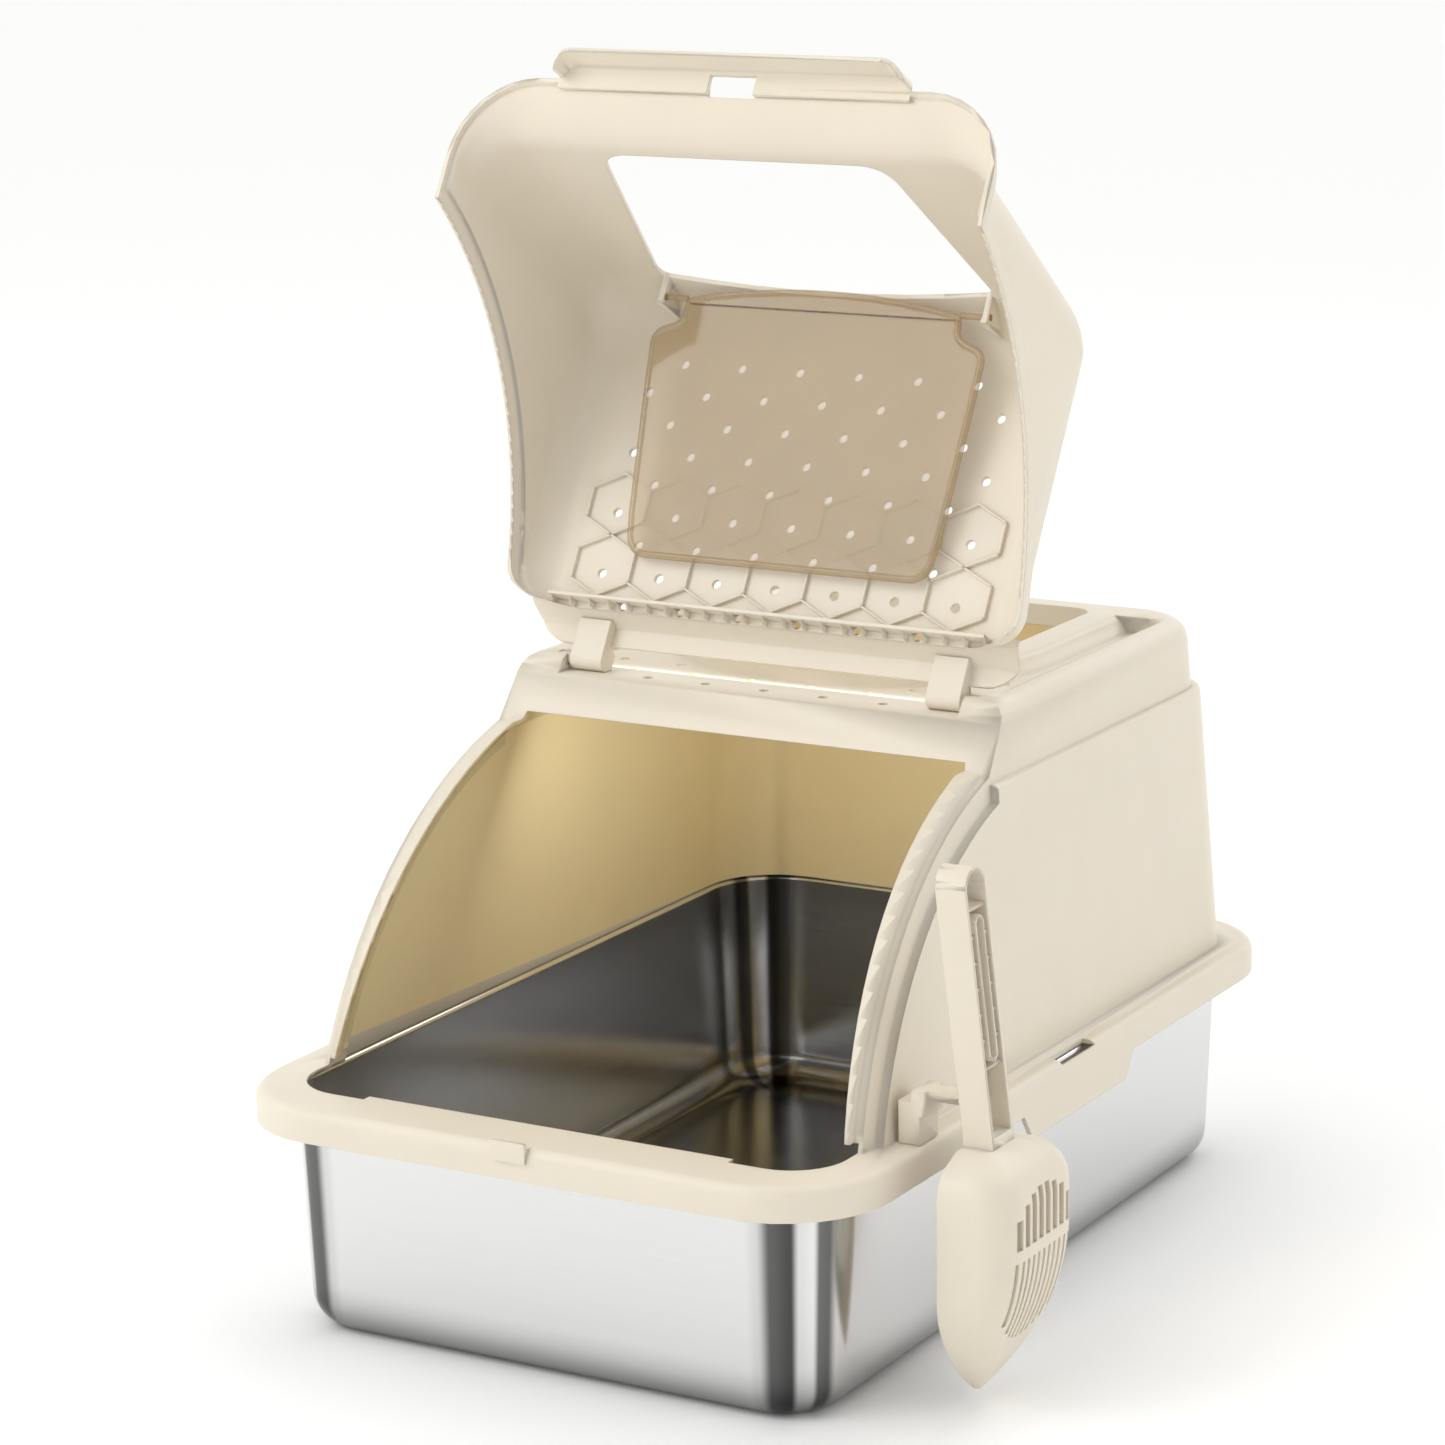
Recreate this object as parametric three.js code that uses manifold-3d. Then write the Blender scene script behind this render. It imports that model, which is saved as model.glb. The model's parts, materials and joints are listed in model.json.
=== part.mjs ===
// Hooded cat litter box: a stainless steel pan, a moulded hood that drops over its rim, a flip-up
// entrance lid with a swinging flap, and a scoop hung on a holder beside the entrance.
// Millimetres, +Z up, front towards -Y, origin on the floor at the middle of the pan.
import * as THREE from 'three';
import { mergeVertices } from 'three/addons/utils/BufferGeometryUtils.js';
import Module from 'manifold-3d';

const wasm = await Module();
wasm.setup();

// ---- Driving dimensions -------------------------------------------------------------------------

const GAP = 0.4;                 // clearance between pieces that seat on each other
const CORNER_STEPS = 8;          // straight steps in a quarter round

// Overall plan of the rim, the size the product is sold by
const LENGTH = 600;
const WIDTH = 400;
const HALF_L = LENGTH / 2;
const HALF_W = WIDTH / 2;
const FRONT_EDGE = -HALF_L;

// Steel pan
const PAN_HEIGHT = 140;
const STEEL = 1.2;
const PAN_FLANGE = 14;           // width of the rim turned out round the pan's mouth
const PAN_LIP = 6;               // the flange's outer edge turned down
const PAN_DRAFT = 6;             // how much narrower each side is at the floor
const PAN_FLOOR_RADIUS = 20;
const PAN_CORNER = 46;

// Hood moulding
const WALL = 2.8;
const SKIRT_DROP = 19;           // outer edge of the rim, from the ledge down
const RIM_CORNER = 64;
const RIM_ROUND = 6;
const RIM_PLAY = 5;              // between the skirt and the pan's flange
const LEDGE_SIDE = 18.8;         // flat ledge from the skirt to the hood's wall
const LEDGE_END = 22.4;
const LEDGE_FRONT = 33;
const PAD_MARGIN = 3;            // landing pad for the lid, past each end of the lid's handle
const PAD_RISE = 1.2;
const PAD_REACH = 6;
const DECK_ABOVE_LEDGE = 206.5;
const SIDE_DRAFT = 0.068;
const END_DRAFT = 0.035;
const BELT_STEP = 5.6;           // the lower wall stands proud of the upper one
const BELT_BELOW_DECK = 42;
const HOOD_CORNER = 44;
const TOP_ROUND = 12;
const ARC_RADIUS = 247;          // side walls' front edge
const ARC_Y = FRONT_EDGE + 314.7;
const ARC_BELOW_DECK = 277.4;
const STRIP = 13.5;              // set-back strip along the arc that the lid's cheeks close on
const RIDGE = 4.6;               // front edge of the entrance, standing inside the closed cheeks
const RIDGE_SET = 5.6;
const BROW_FOOT_Y = FRONT_EDGE + 254; // sloped brow over the entrance
const BROW_TOP_Y = FRONT_EDGE + 276;
const BROW_FOOT_DROP = 39;
const BROW_TOP_DROP = 7;
const ENTRY_HALF_TOP = HALF_W - 53;
const ENTRY_HALF_FOOT = HALF_W - 33;
const ENTRY_TOP_DROP = 32;

// Deck on top of the hood
const RECESS = 10.5;
const RECESS_HALF = HALF_W - 52;
const RECESS_REAR = HALF_L - 72;
const BLOCK_HALF = HALF_W - 66;  // inner faces of the two hinge blocks
const BLOCK_REAR = FRONT_EDGE + 315;
const EXIT_HALF = HALF_W - 104;  // top exit
const EXIT_FRONT = FRONT_EDGE + 345;
const EXIT_REAR = HALF_L - 62;
const EXIT_FRONT_ROUND = EXIT_HALF - 21;
const EXIT_REAR_ROUND = 14;
const COLLAR = 20;
const COLLAR_SLOPE = 7;
const VENT_DIA = 6;
const VENT_PITCH = 39.6;         // between holes along a row; rows are staggered by half of it
const VENT_ROW = 19.5;

// Snap hooks and windows, one on each long side
const WINDOW = { half: 22, width: 8 };
const SKIRT_TAB = { halfTop: 74, halfFoot: 62, drop: 16 };
const HOOK = { half: 20, height: 6 };

// Front catch
const CATCH = { half: 11, depth: 8, rise: 3.5, proud: 2 };

// Lid
const OPEN_ANGLE = THREE.MathUtils.degToRad(120);
const LID_WALL = 2.6;
const LID_SET = 1.8;             // lid's cheeks at their foot, inside the hood's upper wall
const LID_DRAFT = 0.03;
const LID_TOP_BELOW_DECK = 15;
const LID_LIFT = 2;              // between the ledge and the closed lid's bottom edge
const ARC_GAP = 0.8;
const BAND = 3;                  // raised band round the lid's free edges
const BAND_WIDTH = 10.5;
const FACE_FOOT_Y = FRONT_EDGE + 26; // front face, at the ledge and at the knee
const FACE_TOP_Y = FRONT_EDGE + 51;
const FACE_TOP_DROP = 65;
const KNEE_RADIUS = 40;
const SHOULDER_RADIUS = 22;
const FLARE_HEIGHT = 28;
const LID_CORNER = { foot: 48, knee: 24 };
const ENTRANCE = { sideFoot: 81.3, sideTop: 61.8, foot: 30.5, topDrop: 47, arch: 8, round: 18 };
const HANDLE = { side: 58.8, reach: 11, lip: 18, round: 14, plate: 3 };
const NOTCH = { half: 15, front: 5.5, back: 7 };
const HINGE_ABOVE_RECESS = 6.5;
const HINGE_Y = FRONT_EDGE + 288;
const PIN_RADIUS = 3.6;
const PIN_REACH = 6;
const ARM = { inner: BLOCK_HALF - 25, outer: BLOCK_HALF - 3, round: 6 };
const LIP_REAR_Y = FRONT_EDGE + 278;

// Ribs inside the lid
const RIB = 1.4;
const FIRST_ROW_Y = FRONT_EDGE + 256.7;
const VENT_ROWS = 9;
const CHANNEL_Y = FRONT_EDGE + 255;
const CHANNEL_HEIGHT = 10.5;
const GUSSET_REAR_Y = CHANNEL_Y + 8.5;

// Flap
const FLAP = { thick: 1.8, bead: 3.6, beadWidth: 4.5, lip: 9.5, restRise: 20.05 };
const FLAP_FOOT_RISE = 2;        // hanging flap's foot above the ledge
const FLAP_PIN_Y = FRONT_EDGE + 68.5;
const FLAP_PIN_DROP = 44.5;
const FLAP_PIN_RADIUS = 2;
const LUG = { thick: 4, side: 62.8 };

// Scoop and its holder
const SCOOP = { y: FRONT_EDGE + 115, rimX: HALF_W + 25, wall: 2.2, tip: 6, half: 46, depth: 42 };
const SCOOP_SHOULDER_RISE = 4.8; // above the ledge
const SLOTS = { above: 9, semiZ: 0.31, semiY: 37, bar: 11, barHalf: 3.5 };
const GRIP = { half: 12.5, depth: 18, rise: 156.8, lean: 0.118 };
const HANGER = { half: 7, arm: 5, tongue: 2.4, rise: 11, aboveLedge: 30.8, travel: 18 };
const HOLDER = { half: 11, depth: 13, foot: 7, peg: 4 };

// ---- Sizes that follow from them ------------------------------------------------------------------

const LEDGE = PAN_HEIGHT + GAP + WALL;
const LEDGE_UNDER = LEDGE - WALL;
const SKIRT_FOOT = LEDGE - SKIRT_DROP;
const PAN_HALF_W = HALF_W - WALL - RIM_PLAY - PAN_FLANGE;
const PAN_HALF_L = HALF_L - WALL - RIM_PLAY - PAN_FLANGE;
const LOWER_HALF = HALF_W - LEDGE_SIDE;
const LOWER_REAR = HALF_L - LEDGE_END;
const DECK = LEDGE + DECK_ABOVE_LEDGE;
const RECESS_FLOOR = DECK - RECESS;
const BELT = DECK - BELT_BELOW_DECK;
const ARC_Z = DECK - ARC_BELOW_DECK;
const HINGE_Z = RECESS_FLOOR + HINGE_ABOVE_RECESS;
const LID_TOP = DECK - LID_TOP_BELOW_DECK;
const LID_FOOT = LEDGE + LID_LIFT;
const FACE_TOP_Z = DECK - FACE_TOP_DROP;
const FLAP_PIN_Z = DECK - FLAP_PIN_DROP;
const LID_HALF_FOOT = LOWER_HALF - BELT_STEP - LID_SET;
const HANDLE_HALF = LID_HALF_FOOT - HANDLE.side;
const PAD_HALF = HANDLE_HALF + PAD_MARGIN;
const LUG_OUTER = LID_HALF_FOOT - LUG.side;
const LUG_INNER = LUG_OUTER - LUG.thick;
const FLAP_LENGTH = FLAP_PIN_Z - LEDGE - FLAP_FOOT_RISE;
const FLAP_REST = Math.asin(FLAP.restRise / FLAP_LENGTH);
const SCOOP_SHOULDER = LEDGE + SCOOP_SHOULDER_RISE;
const HANGER_Z = LEDGE + HANGER.aboveLedge;

// ---- Solids -----------------------------------------------------------------------------------------

function solid(geometry) {
  const bare = geometry.clone();
  bare.deleteAttribute('normal');
  bare.deleteAttribute('uv');
  const merged = mergeVertices(bare, 1e-4);
  return new wasm.Manifold(new wasm.Mesh({
    numProp: 3,
    vertProperties: new Float32Array(merged.attributes.position.array),
    triVerts: new Uint32Array(merged.index.array),
  }));
}

function toMesh(name, body, look) {
  const { vertProperties, triVerts } = body.getMesh();
  const geometry = new THREE.BufferGeometry();
  geometry.setAttribute('position', new THREE.BufferAttribute(new Float32Array(vertProperties), 3));
  geometry.setIndex(new THREE.BufferAttribute(new Uint32Array(triVerts), 1));
  geometry.computeVertexNormals();
  const mesh = new THREE.Mesh(geometry, new THREE.MeshStandardMaterial(look));
  mesh.name = name;
  return mesh;
}

const joinAll = (bodies) => bodies.reduce((all, body) => all.add(body));
const cutAll = (body, tools) => tools.reduce((left, tool) => left.subtract(tool), body);
const polygon = (points) => new THREE.Shape(points.map(([u, v]) => new THREE.Vector2(u, v)));

function extrude(shape, depth, curveSegments = CORNER_STEPS) {
  return new THREE.ExtrudeGeometry(shape, { depth, bevelEnabled: false, curveSegments });
}

// A (y, z) outline drawn out along X, an (x, z) outline along Y and an (x, y) outline along Z
function alongX(shape, x0, x1, steps) {
  const turn = new THREE.Matrix4().makeBasis(
    new THREE.Vector3(0, 1, 0), new THREE.Vector3(0, 0, 1), new THREE.Vector3(1, 0, 0));
  return solid(extrude(shape, x1 - x0, steps).applyMatrix4(turn).translate(x0, 0, 0));
}

function alongY(shape, y0, y1, steps) {
  const turn = new THREE.Matrix4().makeRotationX(Math.PI / 2);
  return solid(extrude(shape, y1 - y0, steps).applyMatrix4(turn).translate(0, y1, 0));
}

function alongZ(shape, z0, z1, steps) {
  return solid(extrude(shape, z1 - z0, steps).translate(0, 0, z0));
}

function box(x0, x1, y0, y1, z0, z1) {
  const geometry = new THREE.BoxGeometry(x1 - x0, y1 - y0, z1 - z0);
  return solid(geometry.translate((x0 + x1) / 2, (y0 + y1) / 2, (z0 + z1) / 2));
}

function rodX(x0, x1, y, z, radius, sides = 20) {
  const geometry = new THREE.CylinderGeometry(radius, radius, x1 - x0, sides);
  return solid(geometry.rotateZ(Math.PI / 2).translate((x0 + x1) / 2, y, z));
}

function rodZ(x, y, z0, z1, radius, sides = 12) {
  const geometry = new THREE.CylinderGeometry(radius, radius, z1 - z0, sides);
  return solid(geometry.rotateX(Math.PI / 2).translate(x, y, (z0 + z1) / 2));
}

// Both of a mirrored pair, left and right of the middle
const pair = (make) => make(1).add(make(-1));

// Points of a rectangle with rounded corners, counterclockwise from the rear right one
function roundedPoints(halfX, y0, y1, frontRadius, rearRadius) {
  const corners = [
    [halfX - rearRadius, y1 - rearRadius, rearRadius, 0],
    [-halfX + rearRadius, y1 - rearRadius, rearRadius, 1],
    [-halfX + frontRadius, y0 + frontRadius, frontRadius, 2],
    [halfX - frontRadius, y0 + frontRadius, frontRadius, 3],
  ];
  return corners.flatMap(([cx, cy, radius, quarter]) =>
    Array.from({ length: CORNER_STEPS + 1 }, (_, i) => {
      const angle = (quarter + i / CORNER_STEPS) * Math.PI / 2;
      return [cx + radius * Math.cos(angle), cy + radius * Math.sin(angle)];
    }));
}

const roundedShape = (...sizes) => polygon(roundedPoints(...sizes));

// A closed skin through level outlines that all have the same number of points
function loft(levels) {
  const count = levels[0].points.length;
  const positions = levels.flatMap(({ z, points }) => points.flatMap(([x, y]) => [x, y, z]));
  const index = [];
  for (let level = 0; level + 1 < levels.length; level += 1) {
    for (let i = 0; i < count; i += 1) {
      const a = level * count + i;
      const b = level * count + (i + 1) % count;
      index.push(a, b, b + count, a, b + count, a + count);
    }
  }
  const cap = (level) => THREE.ShapeUtils.triangulateShape(
    level.points.map(([x, y]) => new THREE.Vector2(x, y)), []);
  const top = (levels.length - 1) * count;
  cap(levels[0]).forEach(([a, b, c]) => index.push(a, c, b));
  cap(levels.at(-1)).forEach(([a, b, c]) => index.push(top + a, top + b, top + c));
  const geometry = new THREE.BufferGeometry();
  geometry.setAttribute('position', new THREE.Float32BufferAttribute(positions, 3));
  geometry.setIndex(index);
  return solid(geometry);
}

// Heights and set-backs of a quarter round that ends a wall at the height z
function roundOver(z, radius, steps = 4) {
  return Array.from({ length: steps }, (_, i) => {
    const angle = (i + 1) / steps * Math.PI / 2;
    return { z: z - radius + radius * Math.sin(angle), inset: radius * (1 - Math.cos(angle)) };
  });
}

// ---- Steel pan ----------------------------------------------------------------------------------------

function panSkin(inset, floor, top) {
  const level = (z, extra) => {
    const draft = PAN_DRAFT * (1 - z / PAN_HEIGHT);
    const halfW = PAN_HALF_W - draft - inset - extra;
    const halfL = PAN_HALF_L - draft - inset - extra;
    const radius = PAN_CORNER - inset - extra;
    return { z, points: roundedPoints(halfW, -halfL, halfL, radius, radius) };
  };
  const radius = PAN_FLOOR_RADIUS - inset;
  const foot = roundOver(0, radius, 5).reverse().map(({ z, inset: extra }) => level(floor - z, extra));
  return loft([...foot.filter(({ z }) => z < floor + radius - 0.01), level(floor + radius, 0), level(top, 0)]);
}

function steelPan() {
  const flange = (grow) => roundedShape(PAN_HALF_W + grow, -PAN_HALF_L - grow, PAN_HALF_L + grow,
    PAN_CORNER + grow, PAN_CORNER + grow);
  const plate = alongZ(flange(PAN_FLANGE), PAN_HEIGHT - PAN_LIP, PAN_HEIGHT);
  const under = alongZ(flange(PAN_FLANGE - STEEL), PAN_HEIGHT - PAN_LIP - 1, PAN_HEIGHT - STEEL);
  const rim = plate.subtract(under);
  const shell = panSkin(0, 0, PAN_HEIGHT).add(rim);
  return shell.subtract(panSkin(STEEL, STEEL, PAN_HEIGHT + 1));
}

// ---- Hood -----------------------------------------------------------------------------------------------

const upperHalf = (z) => LOWER_HALF - BELT_STEP - (z - LEDGE) * SIDE_DRAFT;
const upperRear = (z) => LOWER_REAR - BELT_STEP - (z - LEDGE) * END_DRAFT;

// Walls of the hood before the entrance arc is cut; grow is measured outwards from the upper wall
function hoodWalls(grow, foot, top, round, corner = HOOD_CORNER + grow) {
  const level = (z, inset) => ({
    z,
    points: roundedPoints(upperHalf(z) + grow - inset, FRONT_EDGE, upperRear(z) + grow - inset, 1,
      Math.max(corner - inset, 4)),
  });
  return loft([level(foot, 0), level(top - round, 0), ...roundOver(top, round).map(
    ({ z, inset }) => level(z, inset))]);
}

// Side view of everything behind the entrance arc and the brow, drawn smaller by inset
function behindEntrance(arcRadius, inset) {
  const slope = Math.atan2(BROW_FOOT_DROP - BROW_TOP_DROP, BROW_TOP_Y - BROW_FOOT_Y);
  const back = inset / Math.sin(slope);
  const footZ = DECK - BROW_FOOT_DROP;
  const arcTopY = BROW_FOOT_Y + back;
  const start = Math.acos((arcTopY - ARC_Y) / arcRadius);
  const end = Math.PI - Math.asin((SKIRT_FOOT - ARC_Z) / arcRadius);
  const steps = 18;
  const arc = Array.from({ length: steps + 1 }, (_, i) => {
    const angle = start + (end - start) * i / steps;
    return [ARC_Y + arcRadius * Math.cos(angle), ARC_Z + arcRadius * Math.sin(angle)];
  });
  const topY = BROW_TOP_Y + back;
  const brow = [
    [topY + 14, DECK - inset + 0.01], [topY + 9, DECK - inset], [topY + 4, DECK - 2 - inset],
    [topY, DECK - BROW_TOP_DROP - inset],
  ];
  const joint = arc[0][1] > footZ - inset ? [] : [[arcTopY, footZ - inset]];
  return polygon([[HALF_L + 50, SKIRT_FOOT], [HALF_L + 50, DECK + 20], [topY + 14, DECK + 20],
    ...brow, ...joint, ...arc]);
}

function rimRing() {
  const level = (z, inset) => ({
    z,
    points: roundedPoints(HALF_W - inset, -HALF_L + inset, HALF_L - inset, RIM_CORNER - inset,
      RIM_CORNER - inset),
  });
  const outside = loft([level(SKIRT_FOOT, 0), level(LEDGE - RIM_ROUND, 0),
    ...roundOver(LEDGE, RIM_ROUND, 4).map(({ z, inset }) => level(z, inset))]);
  const tab = pair((side) => {
    const { halfTop, halfFoot, drop } = SKIRT_TAB;
    const face = polygon([[-halfTop, SKIRT_FOOT + 1], [-halfFoot, SKIRT_FOOT - drop],
      [halfFoot, SKIRT_FOOT - drop], [halfTop, SKIRT_FOOT + 1]]);
    const outer = side * HALF_W;
    const inner = side * (HALF_W - WALL);
    return alongX(face, Math.min(outer, inner), Math.max(outer, inner));
  });
  const hollow = alongZ(roundedShape(HALF_W - WALL, -HALF_L + WALL, HALF_L - WALL, RIM_CORNER - WALL,
    RIM_CORNER - WALL), SKIRT_FOOT - 30, LEDGE_UNDER);
  const hooks = pair((side) => {
    const flange = PAN_HALF_W + PAN_FLANGE + GAP;
    const wedge = polygon([[flange, 0], [HALF_W - WALL + 0.5, 0], [HALF_W - WALL + 0.5, -HOOK.height]]);
    const body = alongY(wedge, -HOOK.half, HOOK.half).translate(0, 0, PAN_HEIGHT - PAN_LIP - 1);
    return side > 0 ? body : body.mirror([1, 0, 0]);
  });
  return outside.subtract(hollow).add(tab).add(hooks);
}

// Mouth of the hood through the ledge: over the pan at the front, inside the walls behind
function ledgeMouth() {
  const front = -HALF_L + LEDGE_FRONT;
  const frontHalf = upperHalf(LEDGE) - WALL;
  const wide = alongZ(roundedShape(frontHalf, front, 0, LEDGE_FRONT, 1), LEDGE_UNDER - 1, LEDGE + 5);
  const pad = box(-PAD_HALF, PAD_HALF, front - 1, front + PAD_REACH, LEDGE_UNDER - 2, LEDGE + 6);
  return wide.subtract(pad);
}

function exitShape(grow) {
  return roundedShape(EXIT_HALF + grow, EXIT_FRONT - grow, EXIT_REAR + grow,
    EXIT_FRONT_ROUND + grow, EXIT_REAR_ROUND + grow);
}

function collarLevel(z, grow) {
  const rear = RECESS_REAR + 10;
  return {
    z,
    points: roundedPoints(EXIT_HALF + grow, EXIT_FRONT - grow, rear, EXIT_FRONT_ROUND + grow, 1),
  };
}

const overCollar = (x, y, margin) => {
  const grow = COLLAR + COLLAR_SLOPE + margin;
  const half = EXIT_HALF + grow;
  const front = EXIT_FRONT - grow;
  const radius = EXIT_FRONT_ROUND + grow;
  const cornerX = half - radius;
  const cornerY = front + radius;
  if (Math.abs(x) < cornerX || y > cornerY) return Math.abs(x) < half && y > front;
  return Math.hypot(Math.abs(x) - cornerX, y - cornerY) < radius;
};

function deckVents() {
  const holes = [];
  const rows = Math.floor((EXIT_FRONT + 2 * VENT_ROW - BROW_TOP_Y) / VENT_ROW);
  const columns = Math.ceil(2 * RECESS_HALF / VENT_PITCH);
  for (let row = 0; row < rows; row += 1) {
    const y = BROW_TOP_Y + 11 + row * VENT_ROW;
    for (let column = -columns; column <= columns; column += 1) {
      if ((column + row) % 2 !== 0) continue;
      const x = column * VENT_PITCH / 2;
      const half = (y < BLOCK_REAR + VENT_DIA ? ARM.inner : RECESS_HALF) - VENT_DIA;
      if (Math.abs(x) > half || overCollar(x, y, VENT_DIA)) continue;
      holes.push(rodZ(x, y, RECESS_FLOOR - WALL - 2, RECESS_FLOOR + 2, VENT_DIA / 2));
    }
  }
  return holes;
}

function hood() {
  const side = behindEntrance(ARC_RADIUS, 0);
  const lowerSide = behindEntrance(ARC_RADIUS - STRIP, 0);
  const upper = hoodWalls(0, LEDGE_UNDER, DECK, TOP_ROUND).intersect(alongX(side, -HALF_W, HALF_W));
  const lower = hoodWalls(BELT_STEP, LEDGE_UNDER, BELT, 3).intersect(alongX(lowerSide, -HALF_W, HALF_W));
  const ridgeSide = behindEntrance(ARC_RADIUS + RIDGE, 0);
  const ridge = hoodWalls(-RIDGE_SET, LEDGE_UNDER, BELT + 6, 3).intersect(alongX(ridgeSide, -HALF_W, HALF_W));
  const innerSide = behindEntrance(ARC_RADIUS - WALL, WALL);
  const innerLowerSide = behindEntrance(ARC_RADIUS - STRIP - WALL, WALL);
  const cavityTop = RECESS_FLOOR - WALL;
  const cavity = hoodWalls(-WALL, LEDGE_UNDER - 2, cavityTop, 6)
    .intersect(alongX(innerSide, -HALF_W, HALF_W));
  const lowerCavity = hoodWalls(BELT_STEP - WALL, LEDGE_UNDER - 2, BELT - WALL, 3)
    .intersect(alongX(innerLowerSide, -HALF_W, HALF_W));
  const innerRidgeSide = behindEntrance(ARC_RADIUS + RIDGE - WALL, WALL);
  const ridgeCavity = hoodWalls(-RIDGE_SET - WALL, LEDGE_UNDER - 2, BELT + 6 - WALL, 3)
    .intersect(alongX(innerRidgeSide, -HALF_W, HALF_W));
  const pad = box(-PAD_HALF, PAD_HALF, -HALF_L + 12, -HALF_L + LEDGE_FRONT + PAD_REACH, LEDGE_UNDER,
    LEDGE + PAD_RISE);
  const catchBoss = box(-CATCH.half, CATCH.half, -HALF_L - CATCH.proud,
    -HALF_L + CATCH.depth - CATCH.proud, LEDGE - RIM_ROUND - 2, LEDGE + CATCH.rise);

  const entryTop = DECK - ENTRY_TOP_DROP;
  const entry = alongY(polygon([[-ENTRY_HALF_FOOT, LEDGE], [ENTRY_HALF_FOOT, LEDGE],
    [ENTRY_HALF_TOP + 1.5, entryTop - 8], [ENTRY_HALF_TOP, entryTop],
    [-ENTRY_HALF_TOP, entryTop], [-ENTRY_HALF_TOP - 1.5, entryTop - 8]]), FRONT_EDGE, 0);

  const recess = alongZ(roundedShape(RECESS_HALF, BLOCK_REAR, RECESS_REAR, 6, 14), RECESS_FLOOR, DECK + 5)
    .add(box(-BLOCK_HALF, BLOCK_HALF, BROW_FOOT_Y - 5, BLOCK_REAR + 10, RECESS_FLOOR, DECK + 5));
  const collar = loft([collarLevel(RECESS_FLOOR - 0.5, COLLAR + COLLAR_SLOPE),
    collarLevel(DECK - 3, COLLAR + 1.5), collarLevel(DECK, COLLAR - 2)]);
  const collarHollow = loft([collarLevel(cavityTop - 8, COLLAR + COLLAR_SLOPE - WALL),
    collarLevel(DECK - 2 * WALL, COLLAR - WALL)])
    .subtract(alongZ(exitShape(WALL), cavityTop - 9, DECK));
  const exit = alongZ(exitShape(0), cavityTop - 9, DECK + 5);

  const cradles = pair((s) => {
    const reach = BLOCK_HALF + PIN_REACH + 1;
    const seat = rodX(Math.min(s * reach, s * (BLOCK_HALF - 2)), Math.max(s * reach, s * (BLOCK_HALF - 2)),
      HINGE_Y, HINGE_Z, PIN_RADIUS + GAP, 24);
    const neck = PIN_RADIUS - 0.5;
    return seat.add(box(Math.min(s * reach, s * (BLOCK_HALF - 2)),
      Math.max(s * reach, s * (BLOCK_HALF - 2)), HINGE_Y - neck, HINGE_Y + neck, HINGE_Z, DECK + 2));
  });
  const blockHollows = pair((s) => {
    const inner = BLOCK_HALF + PIN_REACH + 1 + WALL;
    const outer = upperHalf(DECK) - TOP_ROUND / 2 - WALL;
    return box(Math.min(s * inner, s * outer), Math.max(s * inner, s * outer), BROW_TOP_Y + 10,
      BLOCK_REAR - WALL, cavityTop - 7, DECK - WALL);
  });
  const windows = pair((s) => {
    const outer = HALF_W - WALL / 2;
    const inner = outer - WINDOW.width;
    return box(Math.min(s * inner, s * outer), Math.max(s * inner, s * outer), -WINDOW.half, WINDOW.half,
      LEDGE - RIM_ROUND - 4, LEDGE + 2);
  });

  const outside = joinAll([rimRing(), upper, lower, ridge, pad, catchBoss]);
  const shell = cutAll(outside, [cavity, lowerCavity, ridgeCavity, ledgeMouth(), entry, recess]);
  return cutAll(shell.add(collar), [collarHollow, exit, cradles, blockHollows, windows,
    holderSockets(), ...deckVents()]);
}

// ---- Lid, drawn closed ------------------------------------------------------------------------------------

const faceY = (z) => FACE_FOOT_Y + (FACE_TOP_Y - FACE_FOOT_Y) * (z - LEDGE) / (FACE_TOP_Z - LEDGE);
const lidHalf = (z) => LID_HALF_FOOT - (z - LID_FOOT) * LID_DRAFT;

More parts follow.
